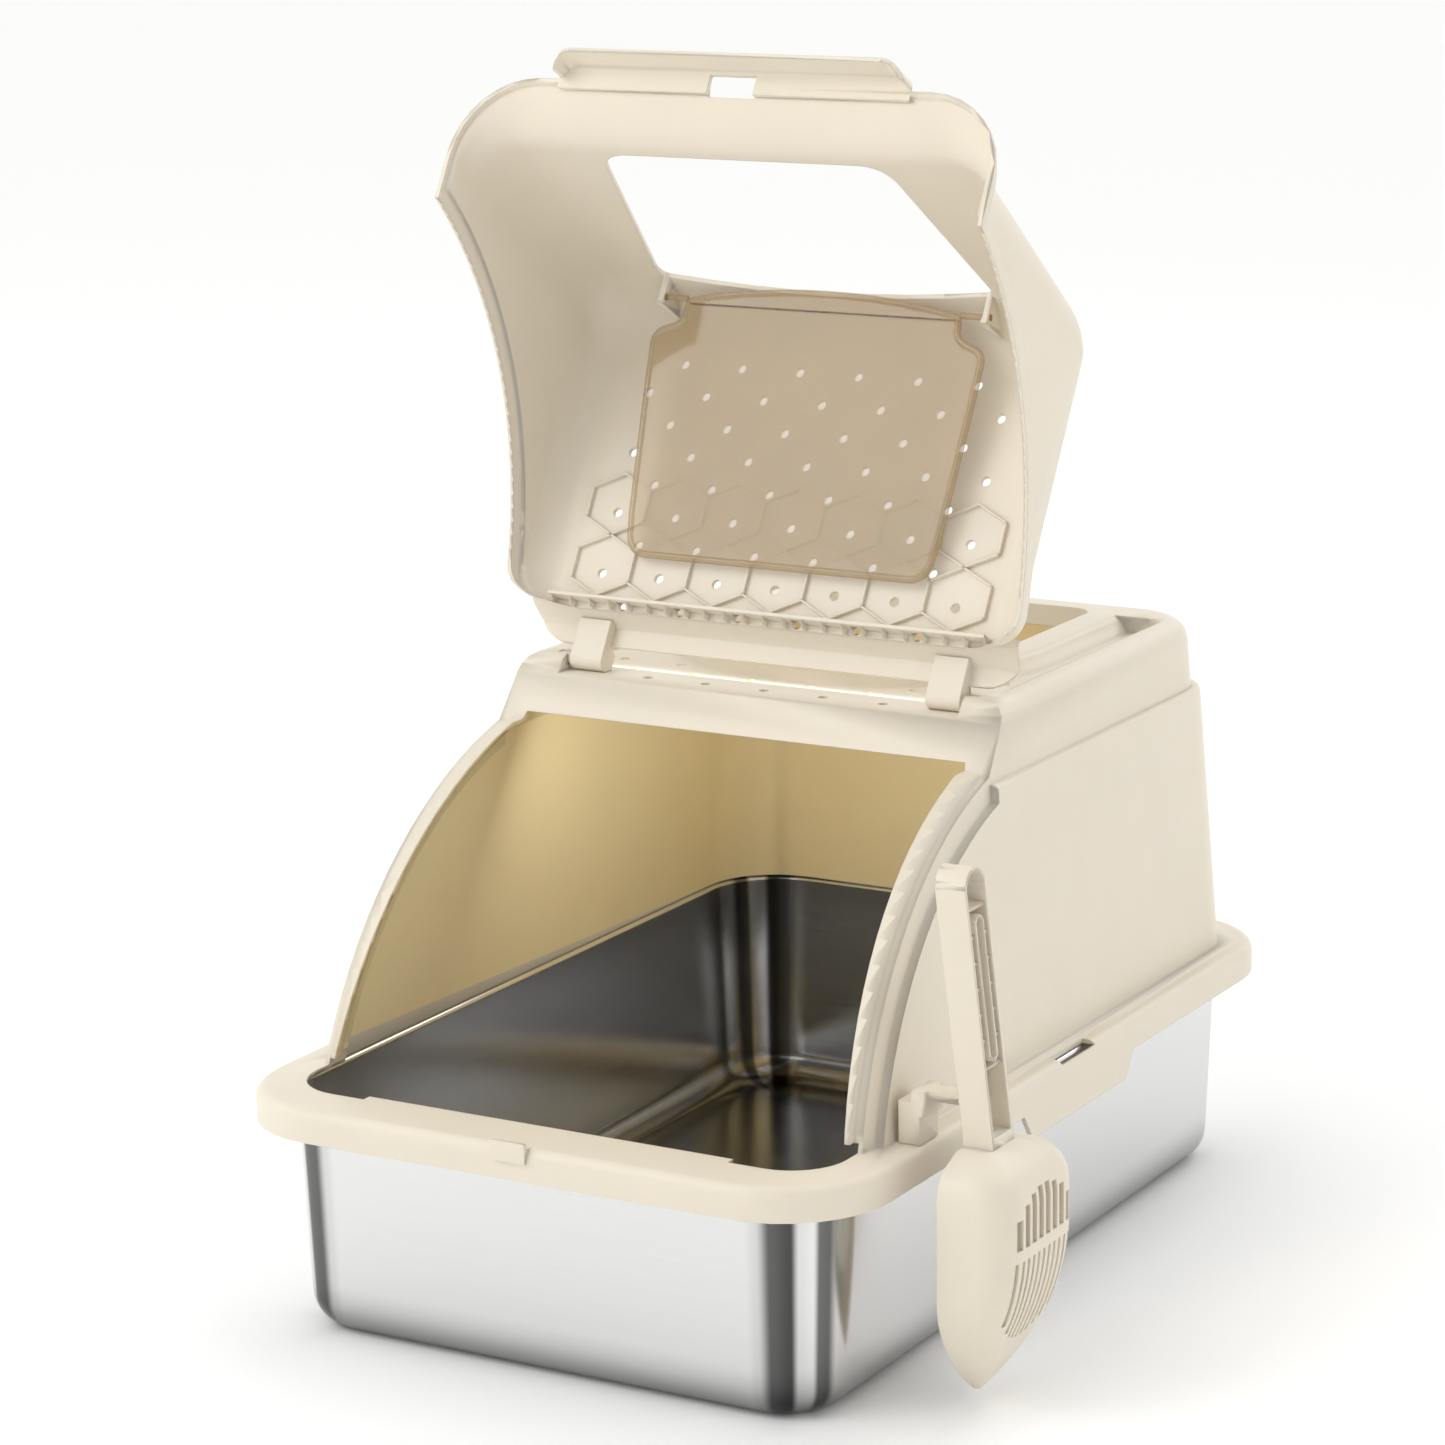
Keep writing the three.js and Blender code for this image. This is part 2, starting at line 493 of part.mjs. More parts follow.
// Outer skin of the lid, or a copy grown outwards (a negative value shrinks it)
function lidSkin(grow, foot) {
  const top = LID_TOP + grow;
  const knee = KNEE_RADIUS + grow;
  const shoulder = SHOULDER_RADIUS + grow;
  const lean = Math.atan2(FACE_TOP_Y - FACE_FOOT_Y, FACE_TOP_Z - LEDGE);
  const kneeStartZ = top - knee + knee * Math.sin(lean);
  const kneeCentreY = faceY(kneeStartZ) - grow + knee * Math.cos(lean);
  const shoulderZ = top - shoulder;
  const frontAt = (z) => {
    if (z < kneeStartZ) return faceY(z) - grow;
    const rise = Math.min(z - (top - knee), knee);
    return kneeCentreY - Math.sqrt(Math.max(knee * knee - rise * rise, 0));
  };
  const halfAt = (z) => {
    const half = lidHalf(Math.min(z, shoulderZ)) + grow;
    if (z < shoulderZ) return half;
    const rise = Math.min(z - shoulderZ, shoulder);
    return half - shoulder + Math.sqrt(Math.max(shoulder * shoulder - rise * rise, 0));
  };
  const flareTop = LEDGE + FLARE_HEIGHT;
  const flareReach = HALF_L - BAND + FACE_FOOT_Y;
  const flare = [foot, LEDGE + 5, LEDGE + 9, LEDGE + 14, LEDGE + 20, flareTop];
  const roundSteps = 6;
  const knees = Array.from({ length: roundSteps }, (_, i) => {
    const angle = lean + (Math.PI / 2 - lean) * (i + 1) / roundSteps;
    return top - knee + knee * Math.sin(angle);
  });
  const heights = [...flare, kneeStartZ, ...knees];
  const levels = heights.map((z) => {
    const bottom = Math.min(1, Math.max(0, (flareTop - z) / (FLARE_HEIGHT - 5)));
    const front = frontAt(Math.max(z, LEDGE)) - (z < flareTop ? flareReach * bottom ** 2.2 : 0);
    const half = halfAt(z);
    const rise = THREE.MathUtils.clamp((z - LEDGE) / (2 * FLARE_HEIGHT), 0, 1);
    const radius = THREE.MathUtils.lerp(LID_CORNER.foot, LID_CORNER.knee, rise) + grow;
    return { z, points: roundedPoints(half, front, LIP_REAR_Y - 18, radius, 18) };
  });
  return loft(levels);
}

function arcDisc(radius) {
  const shape = new THREE.Shape();
  shape.absarc(ARC_Y, ARC_Z, radius, 0, Math.PI * 2, false);
  return alongX(shape, -HALF_W, HALF_W, 96);
}

// Space the brow takes up behind the closed cheeks
function browRoom() {
  const slope = (BROW_TOP_Y - BROW_FOOT_Y) / (BROW_FOOT_DROP - BROW_TOP_DROP);
  const foot = DECK - BROW_FOOT_DROP;
  const top = LID_TOP - LID_WALL - 1;
  const front = BROW_FOOT_Y - 1.8 * ARC_GAP;
  const rear = -BROW_FOOT_Y + 2 * BROW_TOP_Y;
  return alongX(polygon([[front, foot - 12], [rear, foot - 12], [rear, top], [front + slope * (top - foot), top],
    [front, foot]]), -HALF_W, HALF_W);
}

// Raised lip over the brow, and the two hinge arms behind it
function lidRear() {
  const z = DECK;
  const step = [
    [CHANNEL_Y - 3, LID_TOP], [LIP_REAR_Y - 22, LID_TOP], [LIP_REAR_Y - 15, z - 3],
    [LIP_REAR_Y - 13, z], [LIP_REAR_Y, z], [LIP_REAR_Y, z - LID_WALL],
    [LIP_REAR_Y - 11.5, z - LID_WALL], [LIP_REAR_Y - 13, z - 4.5],
    [LIP_REAR_Y - 20.5, LID_TOP - LID_WALL], [CHANNEL_Y - 3, LID_TOP - LID_WALL],
  ];
  const half = lidHalf(LID_TOP) - SHOULDER_RADIUS / 4;
  const plan = alongZ(roundedShape(half, LIP_REAR_Y - 60, LIP_REAR_Y, 1, SHOULDER_RADIUS), LID_TOP - 30, z + 1);
  const arms = pair((s) => {
    const x0 = Math.min(s * ARM.inner, s * ARM.outer);
    const x1 = Math.max(s * ARM.inner, s * ARM.outer);
    const under = HINGE_Z - ARM.round;
    const stop = polygon([
      [HINGE_Y + 6.3, HINGE_Z + 1.5], [HINGE_Y + 2.4, HINGE_Z + 8.3],
      [HINGE_Y - 6, HINGE_Z + 8.3], [HINGE_Y - 12, HINGE_Z + 1.5],
    ]);
    const pin = s * (BLOCK_HALF + PIN_REACH);
    return joinAll([
      box(x0, x1, LIP_REAR_Y - 14, HINGE_Y, under, z - 0.5),
      rodX(x0, x1, HINGE_Y, HINGE_Z, ARM.round, 24),
      alongX(stop, x0, x1),
      rodX(Math.min(s * ARM.outer - s, pin), Math.max(s * ARM.outer - s, pin), HINGE_Y, HINGE_Z,
        PIN_RADIUS, 24),
    ]);
  });
  return alongX(polygon(step), -half, half).intersect(plan).add(arms);
}

// Two ribs across the rear of the lid with small gussets between them
function gussetChannel() {
  const half = lidHalf(LID_TOP) - SHOULDER_RADIUS;
  const under = LID_TOP - LID_WALL;
  const crest = under - CHANNEL_HEIGHT;
  const front = box(-half, half, CHANNEL_Y - 1, CHANNEL_Y + 1, crest, under + 1);
  const web = polygon([[CHANNEL_Y, crest + 1], [CHANNEL_Y, under + 1], [GUSSET_REAR_Y, under + 8],
    [GUSSET_REAR_Y, under]]);
  const pitch = VENT_PITCH / 3;
  const count = 2 * Math.floor(half / pitch) + 1;
  const gussets = Array.from({ length: count }, (_, i) => {
    const x = (i - (count - 1) / 2) * pitch;
    return alongX(web, x - RIB / 2, x + RIB / 2);
  });
  return joinAll([front, ...gussets]);
}

function lidVents() {
  const holes = [];
  const flatHalf = lidHalf(LID_TOP) - SHOULDER_RADIUS - 3 * VENT_DIA;
  const columns = Math.floor(flatHalf / (VENT_PITCH / 2));
  for (let row = 0; row < VENT_ROWS; row += 1) {
    const y = FIRST_ROW_Y - row * VENT_ROW;
    for (let column = -columns; column <= columns; column += 1) {
      if ((column + row) % 2 === 0) continue;
      holes.push(rodZ(column * VENT_PITCH / 2, y, LID_TOP - 8, LID_TOP + 2, VENT_DIA / 2));
    }
  }
  return holes;
}

function entranceCut() {
  const { sideFoot, sideTop, foot, topDrop, arch, round } = ENTRANCE;
  const halfFoot = LID_HALF_FOOT - sideFoot;
  const halfTop = LID_HALF_FOOT - sideTop;
  const z0 = LEDGE + foot;
  const z1 = DECK - topDrop;
  const shape = new THREE.Shape();
  shape.moveTo(-halfFoot + round, z0);
  shape.lineTo(halfFoot - round, z0);
  shape.quadraticCurveTo(halfFoot, z0, halfFoot + round * 0.15, z0 + round);
  shape.lineTo(halfTop, z1 - round / 2);
  shape.quadraticCurveTo(halfTop, z1, halfTop - round / 2, z1);
  shape.quadraticCurveTo(0, z1 + 2 * arch, -halfTop + round / 2, z1);
  shape.quadraticCurveTo(-halfTop, z1, -halfTop, z1 - round / 2);
  shape.lineTo(-halfFoot - round * 0.15, z0 + round);
  shape.quadraticCurveTo(-halfFoot, z0, -halfFoot + round, z0);
  return alongY(shape, FRONT_EDGE, FACE_TOP_Y + 20, 8);
}

function handleBar() {
  const { reach, lip, round, plate } = HANDLE;
  const half = HANDLE_HALF;
  const outer = FRONT_EDGE - reach;
  const outline = (inset) => roundedShape(half - inset, outer + inset, FRONT_EDGE + 12, round - inset, 1);
  const block = alongZ(outline(0), LID_FOOT - lip, LID_FOOT + plate);
  const hollow = alongZ(outline(LID_WALL), LID_FOOT - lip - 1, LID_FOOT)
    .add(box(-HALF_W, HALF_W, FRONT_EDGE - 1, FRONT_EDGE + 20, LID_FOOT - lip - 1, LID_FOOT));
  const pull = box(-HALF_W, HALF_W, FRONT_EDGE + 6, FRONT_EDGE + 20, LID_FOOT - lip, LID_FOOT + plate + 1);
  const ends = roundedShape(half, LID_FOOT - lip, LID_FOOT + plate, lip - 4, 5);
  return cutAll(block, [hollow, pull]).intersect(alongY(ends, outer - 1, FRONT_EDGE + 20));
}

function flapLugs() {
  return pair((s) => {
    const x0 = Math.min(s * LUG_INNER, s * LUG_OUTER);
    const x1 = Math.max(s * LUG_INNER, s * LUG_OUTER);
    const cheek = polygon([[FLAP_PIN_Y + 5, FLAP_PIN_Z - 4], [FLAP_PIN_Y + 5, FLAP_PIN_Z + 30],
      [FLAP_PIN_Y - 30, FLAP_PIN_Z + 30], [FLAP_PIN_Y - 30, FLAP_PIN_Z - 4]]);
    const bore = rodX(x0 - 1, x1 + 1, FLAP_PIN_Y, FLAP_PIN_Z, FLAP_PIN_RADIUS + GAP / 2, 16);
    return alongX(cheek, x0, x1).intersect(lidSkin(-LID_WALL / 2, LEDGE)).subtract(bore);
  });
}

function lid() {
  const bandZone = arcDisc(ARC_RADIUS + ARC_GAP + BAND_WIDTH)
    .add(box(-HALF_W, HALF_W, FRONT_EDGE - 5, 0, LEDGE - 40, LEDGE + 8));
  const bandHollow = arcDisc(ARC_RADIUS + ARC_GAP + BAND_WIDTH - LID_WALL)
    .add(box(-HALF_W, HALF_W, FRONT_EDGE - 5, 0, LEDGE - 40, LEDGE + 8 - LID_WALL));
  const outside = lidSkin(0, LID_FOOT).add(lidSkin(BAND, LID_FOOT).intersect(bandZone));
  const inside = lidSkin(-LID_WALL, LID_FOOT - 2)
    .add(lidSkin(BAND - LID_WALL, LID_FOOT - 2).intersect(bandHollow));
  const ribs = gussetChannel().intersect(lidSkin(-LID_WALL / 2, LID_FOOT));
  const shell = cutAll(outside, [inside, arcDisc(ARC_RADIUS + ARC_GAP), browRoom()]);
  const notch = box(-NOTCH.half, NOTCH.half, FRONT_EDGE - NOTCH.front, FRONT_EDGE + NOTCH.back,
    LID_FOOT - 1, LID_FOOT + 12);
  const whole = joinAll([shell, ribs, lidRear(), handleBar(), flapLugs()]);
  return cutAll(whole, [entranceCut(), notch, ...lidVents()]).translate(0, -HINGE_Y, -HINGE_Z);
}

// ---- Flap, drawn hanging from its pins -----------------------------------------------------------------------

function flapShape(inset) {
  const shape = new THREE.Shape();
  const { lip } = FLAP;
  const length = FLAP_LENGTH;
  const neck = LUG_INNER - 14 - inset;
  const shoulder = LUG_OUTER + 2 - inset;
  const foot = shoulder - 10;
  shape.moveTo(-neck, 3 - inset);
  shape.quadraticCurveTo(0, 2 * lip - 3 - inset, neck, 3 - inset);
  shape.lineTo(neck, -9);
  shape.quadraticCurveTo(neck + 1, -15 - inset, neck + 11, -17 - inset);
  shape.quadraticCurveTo(shoulder, -20 - inset, shoulder, -29 - inset);
  shape.lineTo(foot, -length + 17);
  shape.quadraticCurveTo(foot - 1, -length + inset, foot - 17, -length + inset);
  shape.lineTo(-foot + 17, -length + inset);
  shape.quadraticCurveTo(-foot + 1, -length + inset, -foot, -length + 17);
  shape.lineTo(-shoulder, -29 - inset);
  shape.quadraticCurveTo(-shoulder, -20 - inset, -neck - 11, -17 - inset);
  shape.quadraticCurveTo(-neck - 1, -15 - inset, -neck, -9);
  shape.lineTo(-neck, 3 - inset);
  return shape;
}

function flap() {
  const half = FLAP.bead / 2;
  const bead = alongY(flapShape(0), -half, half)
    .subtract(alongY(flapShape(FLAP.beadWidth), -half - 1, half + 1));
  const sheet = alongY(flapShape(FLAP.beadWidth / 2), -FLAP.thick / 2, FLAP.thick / 2);
  const pins = pair((s) => {
    const inner = s * (LUG_INNER - 17);
    const outer = s * (LUG_OUTER + 1);
    return rodX(Math.min(inner, outer), Math.max(inner, outer), 0, 0, FLAP_PIN_RADIUS, 16);
  });
  return joinAll([bead, sheet, pins]);
}

// ---- Scoop, hanging tip down with its open side towards the box -------------------------------------------------

// How far an edge has fallen from level, part t of the way along an elliptical quarter
const roundFall = (t) => 1 - Math.sqrt(Math.max(0, 1 - t * t));

const scoopHalf = (z) => {
  const { tip, half } = SCOOP;
  const t = THREE.MathUtils.clamp((z - tip) / (SCOOP_SHOULDER - tip), 0, 1);
  if (t < 0.45) return 2 + (half - 2) * Math.sin(Math.PI / 2 * (t / 0.45)) ** 0.9;
  if (t < 0.84) return half;
  return half - (half - 22) * roundFall((t - 0.84) / 0.16);
};

const scoopDepth = (z) => {
  const { tip, depth } = SCOOP;
  const t = THREE.MathUtils.clamp((z - tip) / (SCOOP_SHOULDER - tip), 0, 1);
  if (t < 0.66) return 3 + (depth - 3) * Math.sin(Math.PI / 2 * (t / 0.66)) ** 0.85;
  if (t < 0.82) return depth;
  return depth - (depth - GRIP.depth) * roundFall((t - 0.82) / 0.18);
};

function scoopBowl(inset) {
  const { tip, rimX, y } = SCOOP;
  const shoulder = SCOOP_SHOULDER;
  const count = 22;
  const reach = inset > 0 ? 3 : 0;
  const levels = Array.from({ length: count + 1 }, (_, i) => {
    const t = i / count;
    const z = tip + (shoulder - tip) * t;
    const half = Math.max(scoopHalf(z) - inset, 0.5);
    const deep = Math.max(scoopDepth(z) - inset, 0.5);
    const round = Math.min(half * 0.45, deep * 0.6);
    const steps = 6;
    const curve = (sign) => Array.from({ length: steps + 1 }, (__, k) => {
      const angle = k / steps * Math.PI / 2;
      const across = half - round + round * Math.sin(sign > 0 ? angle : Math.PI / 2 - angle);
      const out = deep - round + round * Math.cos(sign > 0 ? angle : Math.PI / 2 - angle);
      return [rimX + out, y + sign * across];
    });
    const points = [[rimX - reach, y - half], ...curve(-1), ...curve(1), [rimX - reach, y + half]];
    return { z: inset > 0 ? tip + inset + (shoulder - tip - 2 * inset) * t : z, points };
  });
  return loft(levels);
}

function scoopSlots() {
  const { rimX, y, depth } = SCOOP;
  const { semiY, barHalf } = SLOTS;
  const centreZ = (SCOOP.tip + SCOOP_SHOULDER) / 2 + SLOTS.above;
  const semiZ = SLOTS.semiZ * (SCOOP_SHOULDER - SCOOP.tip);
  const barZ = centreZ + SLOTS.bar;
  const cuts = [];
  const add = (count, width, low) => {
    const pitch = 2 * semiY / (count + 1);
    for (let i = 1; i <= count; i += 1) {
      const offset = -semiY + i * pitch;
      const rise = semiZ * Math.sqrt(1 - (offset / (semiY + 4)) ** 2);
      const z0 = low ? centreZ - rise : barZ + barHalf;
      const z1 = low ? barZ - barHalf : centreZ + rise;
      cuts.push(box(rimX + depth / 3, rimX + depth + 20, y + offset - width / 2, y + offset + width / 2,
        z0, z1));
    }
  };
  add(8, 5.4, false);
  add(11, 2.6, true);
  return cuts;
}

function scoopGrip() {
  const { half, depth, lean } = GRIP;
  const { rimX, wall } = SCOOP;
  const top = LEDGE + GRIP.rise;
  const foot = SCOOP_SHOULDER - 6;
  const outline = (inset) => {
    const shape = new THREE.Shape();
    const radius = half - inset;
    shape.moveTo(-radius, foot + (inset > 0 ? 12 : 0));
    shape.lineTo(radius, foot + (inset > 0 ? 12 : 0));
    shape.lineTo(radius, top - half);
    shape.absarc(0, top - half, radius, 0, Math.PI, false);
    return shape;
  };
  const stand = (shape, x0, x1, steps = 8) => alongX(shape, x0, x1, steps).translate(rimX, SCOOP.y, 0);
  const trough = stand(outline(0), 0, depth).subtract(stand(outline(wall), wall, depth + 1));
  const trackFoot = HANGER_Z + HANGER.rise + 14;
  const trackTop = top - half - 18;
  const track = (radius) => {
    const shape = new THREE.Shape();
    shape.absarc(0, trackTop, radius, 0, Math.PI, false);
    shape.absarc(0, trackFoot, radius, Math.PI, 2 * Math.PI, false);
    return shape;
  };
  const loop = stand(track(5), wall / 2, depth).subtract(stand(track(3.4), wall, depth + 1));
  const rungCount = 5;
  const rungs = Array.from({ length: rungCount }, (_, i) => {
    const z = trackFoot + (trackTop - trackFoot) * (i + 0.5) / rungCount;
    const bar = box(rimX + wall / 2, rimX + depth - 1, SCOOP.y - half + 1, SCOOP.y + half - 1, z, z + RIB);
    return bar.subtract(stand(track(4.2), -1, depth + 1));
  });
  const ends = [trackFoot - 8, trackTop + 8].map((z) =>
    box(rimX + wall / 2, rimX + depth - 1, SCOOP.y - half + 1, SCOOP.y + half - 1, z, z + RIB));
  const shear = new THREE.Matrix4().set(
    1, 0, -lean, lean * foot,
    0, 1, 0, 0,
    0, 0, 1, 0,
    0, 0, 0, 1);
  return joinAll([trough, loop, ...rungs, ...ends]).transform(shear.elements);
}

const hangX = SCOOP.rimX - GRIP.lean * (HANGER_Z - SCOOP_SHOULDER + 6);

function scoop() {
  const slot = box(hangX - 4, hangX + SCOOP.wall + 5, SCOOP.y - HANGER.half - GAP,
    SCOOP.y + HANGER.half + GAP, HANGER_Z - HANGER.travel - HANGER.arm - 2 * GAP, HANGER_Z);
  const bowl = scoopBowl(0).subtract(scoopBowl(SCOOP.wall));
  return cutAll(bowl.add(scoopGrip()), [slot, ...scoopSlots()]);
}

// ---- Scoop holder: a post on the ledge with an upturned hook -------------------------------------------------------

const holderX0 = LOWER_HALF + 3;
const holderX1 = HALF_W - RIM_ROUND + 3;

function holderSockets() {
  const { peg } = HOLDER;
  return joinAll([-HOLDER.foot, HOLDER.foot].map((dy) => box(holderX0 + 2 - GAP, holderX0 + 2 + peg + GAP,
    SCOOP.y + dy - peg / 2 - GAP, SCOOP.y + dy + peg / 2 + GAP, LEDGE_UNDER - 3, LEDGE + 1)));
}

function scoopHolder() {
  const { half, peg } = HOLDER;
  const base = LEDGE + GAP;
  const armTop = HANGER_Z - GAP;
  const y0 = SCOOP.y - HANGER.half;
  const y1 = SCOOP.y + HANGER.half;
  const tongueX = hangX + SCOOP.wall + 1.4;
  const post = box(holderX0, holderX1, SCOOP.y - half, SCOOP.y + half, base, armTop - 6);
  const step = box(holderX1 - 5, holderX1 + 3, SCOOP.y - half, SCOOP.y + half, armTop - 14, armTop);
  const arm = box(holderX1 - 2, tongueX + HANGER.tongue, y0, y1, armTop - HANGER.arm, armTop);
  const tongue = box(tongueX, tongueX + HANGER.tongue, y0, y1, armTop - HANGER.arm, armTop + HANGER.rise);
  const pegs = [-HOLDER.foot, HOLDER.foot].map((dy) => box(holderX0 + 2, holderX0 + 2 + peg,
    SCOOP.y + dy - peg / 2, SCOOP.y + dy + peg / 2, LEDGE_UNDER - 0.1, base + 1));
  return joinAll([post, step, arm, tongue, ...pegs]);
}

// ---- Scene -------------------------------------------------------------------------------------------------------------

const CREAM = { color: 0xe9e0cf, roughness: 0.45, metalness: 0 };
const model = new THREE.Group();

model.add(toMesh('steel_pan', steelPan(), { color: 0xd9dadb, roughness: 0.12, metalness: 1 }));
model.add(toMesh('hood', hood(), CREAM));

const lidTurn = new THREE.Group();
lidTurn.position.set(0, HINGE_Y, HINGE_Z);
lidTurn.rotation.x = -OPEN_ANGLE;
lidTurn.add(toMesh('entrance_lid', lid(), CREAM));
model.add(lidTurn);

const flapTurn = new THREE.Group();
flapTurn.position.set(0, FLAP_PIN_Y - HINGE_Y, FLAP_PIN_Z - HINGE_Z);
flapTurn.rotation.x = Math.PI / 2 + FLAP_REST;
flapTurn.add(toMesh('flap', flap(), { color: 0xc8ae8e, roughness: 0.08, metalness: 0 }));
lidTurn.add(flapTurn);

model.add(toMesh('scoop', scoop(), CREAM));
model.add(toMesh('scoop_holder', scoopHolder(), CREAM));

export default model;
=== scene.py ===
"""Hooded cat litter box: the visible pieces, their finishes and a small studio."""

import json
import math

import bmesh
import bpy
from bpy.props import FloatProperty, FloatVectorProperty, IntProperty, PointerProperty
from bpy.types import Operator, Panel, PropertyGroup
from mathutils import Matrix, Vector


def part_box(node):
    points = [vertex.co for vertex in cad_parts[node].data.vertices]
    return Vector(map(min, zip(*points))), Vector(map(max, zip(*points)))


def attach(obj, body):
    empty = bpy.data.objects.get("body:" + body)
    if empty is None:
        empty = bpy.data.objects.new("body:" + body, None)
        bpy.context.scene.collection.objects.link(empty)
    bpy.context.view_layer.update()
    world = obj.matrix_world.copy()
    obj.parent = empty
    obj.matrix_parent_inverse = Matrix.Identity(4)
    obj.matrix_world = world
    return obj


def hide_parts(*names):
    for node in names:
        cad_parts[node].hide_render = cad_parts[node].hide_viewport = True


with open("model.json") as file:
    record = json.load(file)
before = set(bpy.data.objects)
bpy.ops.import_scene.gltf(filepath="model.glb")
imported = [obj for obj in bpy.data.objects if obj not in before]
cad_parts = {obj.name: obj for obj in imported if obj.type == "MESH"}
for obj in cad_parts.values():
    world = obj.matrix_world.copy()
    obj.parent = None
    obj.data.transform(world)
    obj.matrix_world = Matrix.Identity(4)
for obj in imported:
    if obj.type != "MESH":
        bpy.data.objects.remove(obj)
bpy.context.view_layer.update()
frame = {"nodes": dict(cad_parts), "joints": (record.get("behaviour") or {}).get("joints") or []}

bl_info = {
    "name": "Hooded litter box",
    "version": (1, 0, 0),
    "blender": (4, 5, 0),
    "location": "3D View > Sidebar > Litter box",
    "description": "Builds a steel litter pan, its hood, lid, flap and scoop",
    "category": "Object",
}

MM = 0.001

JOINTS = {joint["name"]: joint for joint in frame["joints"]}
HINGE = Vector(JOINTS["lid_hinge"]["pos_m"])
OPEN_ANGLE = math.radians(JOINTS["lid_hinge"]["range_deg"][1])
FLAP_PIN = Vector(JOINTS["flap_swing"]["pos_m"])
PAN_LOW, PAN_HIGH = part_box("steel_pan")


# ---- Small helpers ---------------------------------------------------------------------------


def srgb(code, alpha=1.0):
    """Linear colour of an sRGB hex code."""
    parts = [int(code[i:i + 2], 16) / 255 for i in (1, 3, 5)]
    line = [c / 12.92 if c <= 0.04045 else ((c + 0.055) / 1.055) ** 2.4 for c in parts]
    return (*line, alpha)


def add_node(tree, kind, settings=None, inputs=None):
    """Adds a node, sets its properties, and sets or links its inputs."""
    node = tree.nodes.new(kind)
    for name, value in (settings or {}).items():
        setattr(node, name, value)
    for name, value in (inputs or {}).items():
        socket = node.inputs[name]
        if isinstance(value, bpy.types.NodeSocket):
            tree.links.new(value, socket)
        else:
            socket.default_value = value
    return node


def set_greys(ramp, stops):
    """Fills a colour ramp with greys, given as pairs of position and level."""
    while len(ramp.elements) > 1:
        ramp.elements.remove(ramp.elements[0])
    ramp.elements[0].position = stops[0][0]
    ramp.elements[0].color = (stops[0][1],) * 3 + (1,)
    for position, level in stops[1:]:
        ramp.elements.new(position).color = (level,) * 3 + (1,)


def spread(colour, darker, lighter):
    """Two mix inputs, a little darker and a little lighter than a colour."""
    return {6: [c * darker for c in colour[:3]] + [1.0],
            7: [min(c * lighter, 1.0) for c in colour[:3]] + [1.0]}


def new_material(name):
    """An empty node material with its Principled shader, ready for a finish."""
    material = bpy.data.materials.new(name)
    material.use_nodes = True
    tree = material.node_tree
    tree.nodes.clear()
    shader = add_node(tree, "ShaderNodeBsdfPrincipled")
    add_node(tree, "ShaderNodeOutputMaterial", inputs={"Surface": shader.outputs[0]})
    return material, tree, shader


def mesh_object(name, bm):
    """A plain object from a bmesh that is already in place."""
    mesh = bpy.data.meshes.new(name)
    bm.to_mesh(mesh)
    bm.free()
    piece = bpy.data.objects.new(name, mesh)
    bpy.context.scene.collection.objects.link(piece)
    return piece


def smooth_edges(piece, degrees=32.0):
    """Smooth faces with crisp edges, and normals that favour the large flat faces."""
    mesh = piece.data
    mesh.shade_smooth()
    mesh.set_sharp_from_angle(angle=math.radians(degrees))
    weighted = piece.modifiers.new("even_normals", "WEIGHTED_NORMAL")
    weighted.mode = "FACE_AREA_WITH_ANGLE"
    weighted.keep_sharp = True
    weighted.weight = 60
    return piece


def finish_piece(piece, material, body, slot, *nodes):
    """Gives a piece its finish, its body and the nodes it stands for; the record slot argument is
    not used.
    """
    piece.data.materials.clear()
    piece.data.materials.append(material)
    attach(piece, body)
    if nodes:
        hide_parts(*nodes)
    return piece


def bake_nodes(carrier, tree, settings):
    """Runs a Geometry Nodes tree on a carrier object and keeps the result as a plain mesh."""
    modifier = carrier.modifiers.new("pattern", "NODES")
    modifier.node_group = tree
    for item in tree.interface.items_tree:
        if item.in_out == "INPUT" and item.name in settings:
            modifier[item.identifier] = settings[item.name]
    bpy.context.view_layer.update()
    evaluated = carrier.evaluated_get(bpy.context.evaluated_depsgraph_get())
    mesh = bpy.data.meshes.new_from_object(evaluated)
    carrier.modifiers.remove(modifier)
    carrier.data = mesh
    return carrier


def rounded_rectangle(half_x, half_y, radius, steps):
    """Points round a rectangle with rounded corners, counterclockwise."""
    points = []
    for quarter, (sx, sy) in enumerate(((1, 1), (-1, 1), (-1, -1), (1, -1))):
        for i in range(steps + 1):
            angle = (quarter + i / steps) * math.pi / 2
            points.append((sx * (half_x - radius) + radius * math.cos(angle),
                           sy * (half_y - radius) + radius * math.sin(angle)))
    return points


def arc(centre, radius, start, end, steps):
    """Points on an arc, from one angle to another in degrees."""
    points = []
    for i in range(steps + 1):
        angle = math.radians(start + (end - start) * i / steps)
        points.append((centre[0] + radius * math.cos(angle),
                       centre[1] + radius * math.sin(angle)))
    return points


def bridge_rings(bm, rings):
    """Quads between closed rings of vertices that follow each other."""
    for low, high in zip(rings, rings[1:]):
        count = len(low)
        for i in range(count):
            j = (i + 1) % count
            bm.faces.new((low[i], low[j], high[j], high[i]))


# ---- Sizes and colours a user would change ---------------------------------------------------


